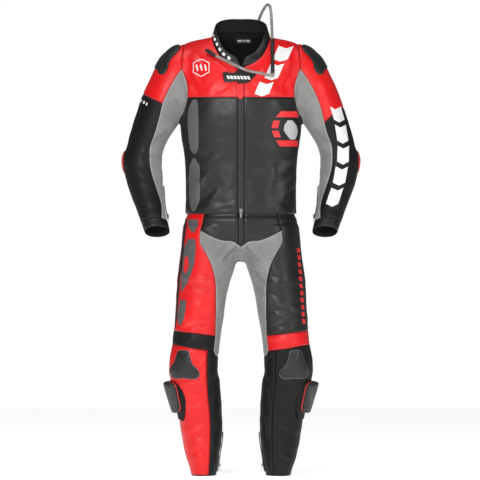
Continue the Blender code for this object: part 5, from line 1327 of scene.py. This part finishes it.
def teeth(centre, normal, along, pitch, size):
    """Zip teeth: small boxes at each pitch along a line, set a little to either side in turn."""
    length, _ = arc_lengths(centre, 0)
    at = np.arange(pitch, length[-1] - pitch, pitch)
    read_at = lambda v: np.stack([np.interp(at, length, v[:, i]) for i in range(3)], axis=1)
    place, up, way = read_at(centre), unit(read_at(normal)), unit(read_at(along))
    aside = np.cross(way, up)
    step = np.where(np.arange(len(at)) % 2, 1.0, -1.0)[:, None] * size[0] * 0.28
    corners = np.array([(x, y, z) for x in (-1, 1) for y in (-1, 1) for z in (-1, 1)], float)
    corners[corners[:, 2] > 0, :2] *= 0.72
    box = corners * np.array(size) / 2
    points = (place + aside * step)[:, None] + (box[:, 0, None] * aside[:, None] + box[:, 1, None] * way[:, None]
                                                + box[:, 2, None] * up[:, None])
    faces = np.array([(0, 1, 3, 2), (4, 6, 7, 5), (0, 4, 5, 1), (2, 3, 7, 6), (0, 2, 6, 4), (1, 5, 7, 3)])
    groups = (faces[None] + 8 * np.arange(len(at))[:, None, None]).reshape(-1, 4)
    return points.reshape(-1, 3), [groups]


def pebble(centre, axes, half, power=4.0, count=14):
    """A rounded block: a ball whose sines and cosines are raised to 2 / power, stretched to half sizes."""
    bend = lambda v: np.sign(v) * np.abs(v) ** (2 / power)
    tilt = np.linspace(-np.pi / 2, np.pi / 2, count)[:, None]
    turn = np.linspace(0, 2 * np.pi, 2 * count, endpoint=False)[None]
    unit = np.stack([bend(np.cos(tilt)) * bend(np.cos(turn)), bend(np.cos(tilt)) * bend(np.sin(turn)),
                     bend(np.sin(tilt)) * np.ones_like(turn)], axis=-1)[1:-1]
    ends = np.array([(0, 0, -1.0), (0, 0, 1.0)])
    points = np.concatenate([unit.reshape(-1, 3), ends]) * half @ axes + centre
    index = np.arange((count - 2) * 2 * count).reshape(count - 2, 2 * count)
    index = np.concatenate([index, index[:, :1]], axis=1)
    quads = np.stack([index[:-1, :-1], index[:-1, 1:], index[1:, 1:], index[1:, :-1]], axis=-1).reshape(-1, 4)
    low, high = len(points) - 2, len(points) - 1
    caps = [np.stack([index[0, 1:], index[0, :-1], np.full(2 * count, low)], 1),
            np.stack([index[-1, :-1], index[-1, 1:], np.full(2 * count, high)], 1)]
    return points, [quads, *caps]


def slider_mesh(surface, down, out):
    """A zip slider: a rounded body with an arch that holds the pull tab."""
    out = unit(out * (1, 1, 0))
    down = unit(down - (down @ out) * out)
    axes = np.stack([np.cross(down, out), down, out])
    half_u, half_w = SLIDER_HALF
    body = pebble(surface - out * SLIDER_DEPTH / 2, axes, (half_u, half_w, SLIDER_DEPTH / 2 + 0.0001), 6.0, 12)
    bow = np.array([(-4.7, -0.6), (-4.7, 1.4), (-4.45, 2.2), (-3.7, 2.6), (0, 2.65), (3.7, 2.6), (4.45, 2.2),
                    (4.7, 1.4), (4.7, -0.6)]) / 1000
    path = smooth_line(surface + bow[:, :1] * axes[1] + bow[:, 1:] * axes[2], 24, False)
    return join_meshes(body, tube_mesh(path, 0.00055, 8))


TAPE_SHARE = np.array([0.0, 0.1, 0.2, 0.32, 0.40, 0.46, 0.5, 0.54, 0.60, 0.68, 0.8, 0.9, 1.0])
TAPE_RIDGE_MM = np.array([0.0, 0.4, 0.7, 0.8, 0.8, 1.2, 1.4, 1.2, 0.8, 0.8, 0.7, 0.4, 0.0])


def zip_piece(name, grid, lift, low, surface, down, out, pitch):
    """A zip's tape from its grid, its row of teeth along the middle and its slider, as pieces of their own."""
    normal = normals(grid)
    rise = lift + TAPE_RIDGE_MM[None] / 1000
    points, groups = shell_mesh(grid + normal * rise[..., None], grid + normal * low)
    side, width = arc_lengths(grid, 1)
    seam = np.minimum(side, width - side) * 1000
    facts = {"seam_mm": twice(seam)}
    look = LOOKS["placket"] if lift == 0 else LOOKS["tape"]
    add_piece(name, points, groups, look, "zip_tape", (name,), facts=facts)
    middle = grid[:, 6] + normal[:, 6] * (lift + 0.0016)
    along = np.gradient(grid[:, 6], axis=0)
    add_piece(name + "_teeth", *teeth(middle, normal[:, 6], along, pitch, (0.0030, pitch * 0.55, 0.0016)),
              LOOKS["rubber"], "zip_tape", smooth=0)
    if surface is not None:
        add_piece(name + "_slider", *slider_mesh(surface, down, out), LOOKS["metal"], "bright_metal", smooth=9)


def zips(s):
    """The jacket's zip and the fly between their panels, and the cuff and ankle zips on theirs."""
    pitch = bpy.context.scene.suit_sizes.tooth_pitch
    share = TAPE_SHARE[None, :, None]
    right = join(s["centre_yoke"], s["centre_low"])
    grid = mirrored(right)[:, None] * (1 - share) + right[:, None] * share
    grid[:, 1:-1] = settle(grid[:, 1:-1])
    grid = inset(grid, normals(grid), SEAM_GAP / 2)
    at = key_point(("front", 0.0, MAIN_SLIDER_ROW))
    zip_piece("main_zip", grid, 0.0, -WALL, at + np.array((0, -0.0036, 0)), np.array((0, 0, -1.0)),
              np.array((0, -1.0, 0)), pitch)
    right = s["fly_side"]
    grid = mirrored(right)[:, None] * (1 - share) + right[:, None] * share
    foot = np.stack([mirrored(right[-1]), s["fly_foot"][-1], right[-1]])
    grid[-1] = np.stack([np.interp(TAPE_SHARE, (0, 0.5, 1), foot[:, i]) for i in range(3)], axis=1)
    grid[:-1, 1:-1] = settle(grid[:-1, 1:-1])
    normal = normals(grid)
    zip_piece("fly_zip", tuck(inset(grid, normal, SEAM_GAP / 2), normal), 0.0, -WALL, None, None, None, pitch)
    for limb, name, (*line, stop) in (("arm", "cuff", CUFF_ZIP), ("leg", "ankle", ANKLE_ZIP)):
        centre = smooth_line([key_point((limb, *k)) for k in line], 6 * FINE)
        normal = normals(centre)
        along = np.gradient(centre, axis=0)
        aside = unit(np.cross(along, normal))
        grid = settle(centre[:, None] + aside[:, None] * ((share[0] - 0.5)[None] * 2 * STRIP_HALF))
        spot = np.stack([np.interp(-height_of(stop), -centre[:, 2], centre[:, i]) for i in range(3)])
        way = np.stack([np.interp(-height_of(stop), -centre[:, 2], along[:, i]) for i in range(3)])
        facing = normals(spot[None])[0]
        for end, side in SIDES:
            turn = np.array((side, 1, 1))
            zip_piece(name + "_zip" + end, grid * turn, STRIP_TOP, STRIP_LIFT, (spot + facing * 0.0053) * turn,
                      way * turn, facing * turn, pitch * 0.85)
    for name in PULLS:
        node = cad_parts[name]
        node.data.materials.clear()
        node.data.materials.append(LOOKS["metal"])


PULLS = ("main_pull", "cuff_pull_l", "cuff_pull_r", "ankle_pull_l", "ankle_pull_r")


def hose_piece(name, route, look, slot, steps, radii):
    """A tube or moulded sleeve along a route of (pixels, row, depth), with its radii in mm spread along it."""
    path = smooth_line(spots(route), steps, False)
    share = np.linspace(0, len(radii) - 1, steps + 1)
    size = np.interp(share, range(len(radii)), radii) / 1000
    obj = add_piece(name, *tube_mesh(path, size, 20), LOOKS[look], slot, (name,))
    length = float(np.linalg.norm(np.diff(path, axis=0), axis=1).sum())
    return obj, path, length


def drink_hose():
    """The clear hose from the hump, its black sleeve, the elbow, the mouth tube and the bite valve."""
    hose, path, length = hose_piece("hose", HOSE_ROUTE, "clear", "clear_tube", 90, (HOSE_RADIUS, HOSE_RADIUS))
    sleeve, _, _ = hose_piece("hose_sleeve", [r[:3] for r in SLEEVE_ROUTE], "rubber", "black_rubber", 64,
                              [r[3] for r in SLEEVE_ROUTE])
    elbow, _, _ = hose_piece("hose_elbow", ELBOW_ROUTE, "clear", "clear_tube", 30, (HOSE_RADIUS, HOSE_RADIUS))
    mouth, far, reach = hose_piece("mouth_hose", MOUTH_ROUTE, "clear", "clear_tube", 64,
                                   (HOSE_RADIUS, HOSE_RADIUS))
    valve, _, _ = hose_piece("bite_valve", [r[:3] for r in VALVE_ROUTE], "rubber", "black_rubber", 36,
                             [r[3] for r in VALVE_ROUTE])


# The form lies between these depths in front of and behind the origin, in metres
FORM_DEPTH = 0.16


def on_front(px, rows, way=1):
    """Points of the form's front at photo pixels, or of its back where way is -1.

    Each is the first crossing of a level line along Y with the form, halved down.
    """
    x, z = (px - MIDDLE_PX) * PX, height_of(rows)
    depth = np.linspace(-FORM_DEPTH, FORM_DEPTH, 81) * way
    line = np.stack(np.broadcast_arrays(x[:, None], depth[None], z[:, None]), axis=-1)
    first = np.maximum(np.argmax(form(line) < 0, axis=1), 1)
    low, high = depth[first - 1], depth[first]
    for _ in range(18):
        mid = (low + high) / 2
        inside = form(np.stack([x, mid, z], axis=-1)) < 0
        high, low = np.where(inside, mid, high), np.where(inside, low, mid)
    return np.stack([x, high, z], axis=-1)


def film(table, point=0.0, lift=0.45, grow=0.0, step=0.8, trousers=False, creased=True):
    """A thin printed or sewn patch on the front, from a table of rows with their left and right pixels.

    point is how far the middle of each row is pushed down, which cuts the ends to arrow shapes. grow widens
    the patch all round, in pixels.
    """
    rows, left, right = np.array(table, float).T
    rows = rows + np.linspace(-grow, grow, len(rows))
    count = max(4, int(np.ptp(rows) / step) + 1)
    across = max(5, int((right - left).max() / step) + 1)
    at = np.linspace(rows[0], rows[-1], count)[:, None]
    u = np.linspace(0, 1, across)[None]
    start, end = np.interp(at, rows, left) - grow, np.interp(at, rows, right) + grow
    px = start + (end - start) * u
    down = at + point * (1 - np.abs(2 * u - 1))
    grid = on_front(px.ravel(), down.ravel()).reshape(count, across, 3)
    normal = normals(grid)
    height = crease_height(grid, normal) if creased else np.zeros(grid.shape[:2])
    if trousers:
        grid = tuck(grid, normal)
    high = height + lift / 1000
    return shell_mesh(grid + normal * high[..., None], grid + normal * (high - 0.0007)[..., None])


def bars(start, end, count, wide, tall, lean=0.0):
    """Tables for a row of short bars between two pixels; lean shifts each bar's foot sideways."""
    for t in np.linspace(0, 1, count):
        x, y = (start[i] + (end[i] - start[i]) * t for i in (0, 1))
        yield [(y + way * tall / 2, x - wide / 2 - way * lean, x + wide / 2 - way * lean) for way in (-1, 1)]


def stripe(a, b, width):
    """A table for a thin line between two pixels, level lines by their height and others by their width."""
    (ax, ay), (bx, by) = sorted((a, b), key=lambda p: p[1])
    if by - ay < abs(bx - ax) * 0.3:
        return ((ay - width / 2, min(ax, bx), max(ax, bx)), (ay + width / 2, min(ax, bx), max(ax, bx)))
    half = width / 2 * np.hypot(bx - ax, by - ay) / (by - ay)
    return ((ay, ax - half, ax + half), (by, bx - half, bx + half))


# Chevrons of white film: top and bottom row, then the middle pixel at each, and the width
YOKE_CHEVRONS = ((46.5, 60, 286, 280, 15), (64, 79, 277.5, 271, 13.5), (83, 95, 266.5, 261.5, 14))
SLEEVE_CHEVRONS = ((107, 120, 335, 339, 10.5), (125, 141, 340, 342.5, 11), (146, 162, 343, 342.5, 11.5),
                   (167, 183, 341.5, 338.5, 12), (188, 204, 337, 331.5, 12))
# Panels of darker film as rows with their left and right pixels
SIDE_PANELS = (((100.5, 193, 197), (108, 189.5, 198.4), (120, 188, 198.8), (140, 189, 199), (150, 190.5, 198.5),
                (154.5, 194, 195.5)),
               ((158.5, 193, 195.5), (166, 190, 200), (180, 188.5, 200.4), (200, 189.5, 200), (207, 191, 197.5),
                (211.5, 192.5, 195)))
THIGH_PANELS = (((219.5, 188, 198.6), (226, 188.6, 198.4), (232.5, 192, 194.5)),
                ((239, 188.5, 195.5), (247, 185, 196.2), (262, 183, 194.8), (274, 181.5, 191.5), (284, 181, 187),
                 (291, 181.4, 182.6)),
                ((300, 180.5, 186.6), (306, 178.8, 186.4), (318, 177.4, 184.6), (325, 179.2, 181.2)))
THIGH_LOZENGE = ((256, 186, 187.6), (261, 184.2, 189), (268, 183.6, 188.6), (273, 185, 186.4))
CHEST_BARS = (((112, 281, 297.5), (118, 275.5, 297.8)), ((141, 275.5, 297.8), (147, 280, 297.6)),
              ((121.5, 273, 279.5), (129, 271.3, 277.8)), ((131.5, 271.6, 278), (138, 274, 280.5)))
CHEST_LOZENGE = ((121, 287.5, 292), (126, 284, 296), (131, 283.5, 297.4), (135, 286, 297), (140, 290, 294.5))
# The hexagon on the breast: its middle pixel and row, and its radius in pixels
BADGE = (201.5, 68.6, 9.0)
# The black side stripe of the red thigh: rows, and its width in pixels as seen from the front
SIDE_STRIPE = ((219, 2), (232, 2.8), (250, 2.9), (275, 2.6), (300, 2.2), (322, 1.7), (327, 1.4))


def outer_edge(rows):
    """The leftmost pixel of the form at each row, found on a fine grid of level lines."""
    px = np.arange(173, 196, 0.25)
    depth = np.linspace(-FORM_DEPTH, FORM_DEPTH, 65)
    x, y, z = np.meshgrid((px - MIDDLE_PX) * PX, depth, height_of(np.array(rows, float)))
    inside = (form(np.stack([x, y, z], axis=-1)) < 0).any(0)
    return px[inside.argmax(0)]


def chevrons(table):
    """Film tables from rows of top, bottom, the middle pixel at each, and the width."""
    return [((top, a - wide / 2, a + wide / 2), (low, b - wide / 2, b + wide / 2))
            for top, low, a, b, wide in table]


def graphics():
    """Plain coloured film on the leather: chevrons, bars and panels, with no words or marks."""
    put = lambda name, look, slot, shapes: add_piece(name, *join_meshes(*shapes), LOOKS[look], slot, smooth=0)
    put("yoke_chevrons", "white", "red_leather", [film(t, 2.5) for t in chevrons(YOKE_CHEVRONS)])
    put("sleeve_chevrons", "white", "black_leather", [film(t, 3.0) for t in chevrons(SLEEVE_CHEVRONS)])
    put("side_panel_edges", "edge", "black_leather", [film(t, 0, 0.5, 0.7) for t in SIDE_PANELS])
    put("side_panels", "grey_film", "black_leather", [film(t, 0, 0.8) for t in SIDE_PANELS])
    put("thigh_panels", "grey_film", "red_leather", [film(t, 0, 0.6, trousers=True) for t in THIGH_PANELS])
    rows, wide = zip(*SIDE_STRIPE)
    table = [(row, edge + 0.5, edge + 0.5 + w) for row, edge, w in zip(rows, outer_edge(rows), wide)]
    put("thigh_side_stripe", "edge", "black_leather", [film(table, 0, 0.4, step=0.35, trousers=True)])
    put("thigh_lozenge", "red_film", "red_leather", [film(THIGH_LOZENGE, 0, 1.1)])
    put("thigh_bars", "red_film", "black_leather",
        [film(t, 0, 0.5) for t in bars((298.3, 250.5), (303.4, 321.0), 11, 2.6, 4.4, -0.5)])
    put("chest_bars", "red_film", "black_leather",
        [film(t, 0, 0.5) for t in CHEST_BARS])
    put("chest_lozenge", "pale_film", "black_leather", [film(CHEST_LOZENGE, 0, 0.7)])
    x, y, r = BADGE
    corner = [(x + r * np.cos(a), y + r * np.sin(a)) for a in np.radians(np.arange(0, 360, 60) + 30)]
    edge = [film(stripe(a, b, 0.75), 0, 0.5) for a, b in zip(corner, corner[1:] + corner[:1])]
    inside = [film(t, 0, 0.5) for t in bars((x - 4.2, y), (x + 4.2, y), 3, 1.5, 6.0, -0.6)]
    put("badge", "white", "red_leather", edge + inside)
    put("cuff_side_bars", "white", "black_leather",
        [film(t, 0, 0.5) for t in bars((141.5, 101.0), (147.0, 104.5), 3, 1.7, 2.6, 0.3)])
    high = CHEST_TAB[3]
    marks = [film(t, 0, high + 0.3, step=0.4, creased=False)
             for t in bars((228.5, 78.9), (248.5, 79.4), 7, 2.3, 3.2, -0.7)]
    put("tab_bars", "white", "black_leather", marks)


def collar_marks(grid, normal):
    """Short white bars along the wearer's right side of the collar."""
    nv, nu = grid.shape[:2]
    shapes = []
    for at in np.linspace(0.05, 0.235, 6):
        u = nu - 1 - int(at * nu)
        rows, cols = slice(int(0.30 * nv), int(0.68 * nv)), slice(u - 2, u + 1)
        up = normal[rows, cols]
        shapes.append(shell_mesh(grid[rows, cols] + up * 0.0012, grid[rows, cols] + up * 0.0002))
    add_piece("collar_bars", *join_meshes(*shapes), LOOKS["white"], "black_leather", smooth=0)


def neck_label():
    """A small woven label with plain bars, sewn to the lining inside the back of the neck."""

    def patch_inside(left, right, top, low, lift):
        px, rows = np.meshgrid(np.linspace(left, right, 12), np.linspace(top, low, 6))
        grid = on_front(px.ravel(), rows.ravel(), way=-1).reshape(6, 12, 3)
        normal = normals(grid)
        inner = -WALL + crease_height(grid, normal) - lift / 1000
        return shell_mesh(grid + normal * (inner - 0.0006)[..., None], grid + normal * inner[..., None])

    add_piece("neck_label", *patch_inside(235.5, 251.5, 36.6, 42.4, 0.6), LOOKS["tape"], "black_leather")
    marks = [patch_inside(a, b, 38.6, 40.8, 1.3) for a, b in ((237.4, 241.6), (242.6, 244.6), (245.6, 250.2))]
    add_piece("neck_label_bars", *join_meshes(*marks), LOOKS["white"], "black_leather")


# Lamps: name, place, width in metres and share of the key light's power. All aim at the suit's upper half
LAMPS = (("key", (-0.9, -4.2, 0.75), 1.0, 1.0), ("fill", (2.4, -3.2, 0.3), 1.6, 0.42),
         ("top", (-0.4, -1.0, 2.4), 1.4, 0.32))
LAMP_AIM = Vector((0.0, 0.0, -0.5))
FLOOR_REACH = 6.0


def area_light(name, place, size, watts):
    """One round lamp that aims at the suit."""
    lamp = bpy.data.lights.new(name, "AREA")
    lamp.shape = "DISK"
    lamp.size = size
    lamp.energy = watts
    obj = bpy.data.objects.new(name, lamp)
    obj.location = place
    obj.rotation_euler = (LAMP_AIM - Vector(place)).to_track_quat("-Z", "Y").to_euler()
    bpy.context.scene.collection.objects.link(obj)
    return obj


def white_room(dim):
    """A world that the camera sees as white and that lights the suit only dimly, so that lamps shape it."""
    world = bpy.data.worlds.new("white_room")
    world.use_nodes = True
    tree = world.node_tree
    strength = add_node(tree, "MapRange", (add_node(tree, "LightPath", out="Is Camera Ray"), 0, 1, dim, 1.02))
    fill(tree, tree.nodes["Background"], {"Strength": strength, "Color": linear("#FFFFFF")})
    return world


def stage():
    """A white floor and room, soft lights, and a camera that looks level along +Y as the photo does.

    The view transform is the plain one, so that the materials' own colours are seen.
    """
    sizes = bpy.context.scene.suit_sizes
    low = CAD_BOX[0][2]
    floor = bpy.data.meshes.new("floor")
    corners = ((-1, -1), (1, -1), (1, 1), (-1, 1))
    floor.from_pydata([(x * FLOOR_REACH, y * FLOOR_REACH, low - 0.001) for x, y in corners], [], [(0, 1, 2, 3)])
    paper = finish_material(*start_material("white_paper", 0.8), "#FBFBFB", (),
                            {"Emission Color": linear("#FFFFFF"), "Emission Strength": sizes.floor_glow})
    floor.materials.append(paper)
    ground = bpy.data.objects.new("floor", floor)
    bpy.context.scene.collection.objects.link(ground)
    bpy.context.scene.world = white_room(sizes.room_light)
    lights = [area_light(name, place, size, sizes.key_light * share) for name, place, size, share in LAMPS]
    lens = bpy.data.cameras.new("camera")
    lens.lens = lens.sensor_width * sizes.camera_distance / (IMAGE_PX * PX)
    camera = bpy.data.objects.new("camera", lens)
    camera.location = ((IMAGE_PX / 2 - MIDDLE_PX) * PX, -sizes.camera_distance, height_of(IMAGE_PX / 2))
    camera.rotation_euler = (np.pi / 2, 0.0, 0.0)
    bpy.context.scene.collection.objects.link(camera)
    bpy.context.scene.camera = camera
    bpy.context.scene.view_settings.view_transform = "Standard"


def colour_property(name, description, default):
    """A colour setting with its default as an sRGB hex colour."""
    return FloatVectorProperty(name=name, description=description, default=linear(default)[:3], subtype="COLOR",
                               size=3, min=0.0, max=1.0)


def length_property(name, description, default, low, high):
    """A length setting in metres."""
    return FloatProperty(name=name, description=description, default=default, min=low, max=high,
                         subtype="DISTANCE", unit="LENGTH")


class SuitColours(bpy.types.PropertyGroup):
    """The three colours of the suit's outer materials."""

    red: colour_property("Red", "Dye of the red cowhide", "#EE1216")
    black: colour_property("Black", "Dye of the black cowhide", "#1B1B1A")
    grey: colour_property("Grey", "Yarn of the grey stretch cloth", "#969694")


class SuitSizes(bpy.types.PropertyGroup):
    """Sizes of the sewing, and the stage's distances and lights."""

    crease_scale: FloatProperty(name="Crease height", description="Factor on the height of all creases",
                                default=1.3, min=0.0, max=1.5, subtype="FACTOR")
    groove_depth: length_property("Seam groove", "Depth of the groove along each seam", 0.0009, 0.0, 0.002)
    stitch_length: length_property("Stitch length", "Length of a stitch with its gap", 0.0045, 0.002, 0.01)
    tooth_pitch: length_property("Tooth pitch", "Distance between the zips' teeth", 0.003, 0.002, 0.006)
    camera_distance: length_property("Camera distance", "Distance from the camera to the suit", 15.0, 3.0, 40.0)
    room_light: FloatProperty(name="Room light", description="Strength of the room beside and before the suit",
                              default=0.14, min=0.0, max=5.0)
    floor_glow: FloatProperty(name="Floor glow", description="Light that the floor gives off", default=0.78,
                              min=0.0, max=2.0)
    key_light: FloatProperty(name="Key light", description="Power of the main light", default=86.0, min=0.0,
                             max=2000.0, subtype="POWER", unit="POWER")


class SUIT_OT_materials(bpy.types.Operator):
    """Make the suit's materials from the colours"""

    bl_idname = "suit.materials"
    bl_label = "Materials"

    def execute(self, context):
        make_materials()
        return {"FINISHED"}


class SUIT_OT_jacket(bpy.types.Operator):
    """Build the jacket's leather and stretch panels"""

    bl_idname = "suit.jacket"
    bl_label = "Jacket panels"

    def execute(self, context):
        need_materials()
        jacket_cloth(all_seams())
        return {"FINISHED"}


class SUIT_OT_trousers(bpy.types.Operator):
    """Build the trousers' leather and stretch panels"""

    bl_idname = "suit.trousers"
    bl_label = "Trouser panels"

    def execute(self, context):
        need_materials()
        trouser_cloth(all_seams())
        ankle_binding(all_seams())
        return {"FINISHED"}


class SUIT_OT_collar(bpy.types.Operator):
    """Build the collar with its piping, neck tape and bars"""

    bl_idname = "suit.collar"
    bl_label = "Collar"

    def execute(self, context):
        need_materials()
        collar_marks(*collar(all_seams()))
        return {"FINISHED"}


class SUIT_OT_cuffs(bpy.types.Operator):
    """Build the two cuffs, then go over the cut size of every cloth panel made so far"""

    bl_idname = "suit.cuffs"
    bl_label = "Cuffs"

    def execute(self, context):
        need_materials()
        cuffs(all_seams())
        declare_sheets()
        return {"FINISHED"}


class SUIT_OT_armour(bpy.types.Operator):
    """Build the shoulder, elbow and knee cups"""

    bl_idname = "suit.armour"
    bl_label = "Armour cups"

    def execute(self, context):
        need_materials()
        armour()
        return {"FINISHED"}


class SUIT_OT_sliders(bpy.types.Operator):
    """Build the knee sliders on their hook-and-loop panels"""

    bl_idname = "suit.sliders"
    bl_label = "Knee sliders"

    def execute(self, context):
        need_materials()
        sliders()
        return {"FINISHED"}


class SUIT_OT_trim(bpy.types.Operator):
    """Build the chest tab, the zip cover and the hump"""

    bl_idname = "suit.trim"
    bl_label = "Tab, zip cover and hump"

    def execute(self, context):
        need_materials()
        tabs()
        hump()
        return {"FINISHED"}


class SUIT_OT_zips(bpy.types.Operator):
    """Build the zips' tapes, teeth and sliders, and finish the pull tabs"""

    bl_idname = "suit.zips"
    bl_label = "Zips"

    def execute(self, context):
        need_materials()
        zips(all_seams())
        return {"FINISHED"}


class SUIT_OT_hose(bpy.types.Operator):
    """Build the drink hose with its sleeve, elbow and bite valve"""

    bl_idname = "suit.hose"
    bl_label = "Drink hose"

    def execute(self, context):
        need_materials()
        drink_hose()
        return {"FINISHED"}


class SUIT_OT_graphics(bpy.types.Operator):
    """Lay the plain printed film on the leather"""

    bl_idname = "suit.graphics"
    bl_label = "Film graphics"

    def execute(self, context):
        need_materials()
        graphics()
        neck_label()
        return {"FINISHED"}


class SUIT_OT_stage(bpy.types.Operator):
    """Set up the floor, the lights and the camera"""

    bl_idname = "suit.stage"
    bl_label = "Stage"

    def execute(self, context):
        stage()
        return {"FINISHED"}


OPERATORS = (SUIT_OT_materials, SUIT_OT_jacket, SUIT_OT_trousers, SUIT_OT_collar, SUIT_OT_cuffs, SUIT_OT_armour,
             SUIT_OT_sliders, SUIT_OT_trim, SUIT_OT_zips, SUIT_OT_hose, SUIT_OT_graphics, SUIT_OT_stage)


class SUIT_PT_panel(bpy.types.Panel):
    """Colours, sizes and the building steps in order"""

    bl_label = "Motorcycle suit"
    bl_space_type = "VIEW_3D"
    bl_region_type = "UI"
    bl_category = "Suit"

    def draw(self, context):
        for group in (context.scene.suit_colours, context.scene.suit_sizes):
            for name in group.__annotations__:
                self.layout.prop(group, name)
        for operator in OPERATORS:
            self.layout.operator(operator.bl_idname)


CLASSES = (SuitColours, SuitSizes, *OPERATORS, SUIT_PT_panel)


def register():
    for item in CLASSES:
        bpy.utils.register_class(item)
    bpy.types.Scene.suit_colours = PointerProperty(type=SuitColours)
    bpy.types.Scene.suit_sizes = PointerProperty(type=SuitSizes)


def unregister():
    del bpy.types.Scene.suit_sizes
    del bpy.types.Scene.suit_colours
    for item in reversed(CLASSES):
        bpy.utils.unregister_class(item)


def need_materials():
    """Stops an operator whose materials haven't been made."""
    if not LOOKS:
        raise RuntimeError("run the Materials operator first")


SEAM_CACHE = {}


def all_seams():
    """The seams, worked out once and shared by the operators."""
    if not SEAM_CACHE:
        SEAM_CACHE.update(seam_points())
    return SEAM_CACHE


def main():
    """Builds the suit through its operators."""
    register()
    for operator in OPERATORS:
        group, name = operator.bl_idname.split(".")
        getattr(getattr(bpy.ops, group), name)()


if __name__ == "__main__":
    main()
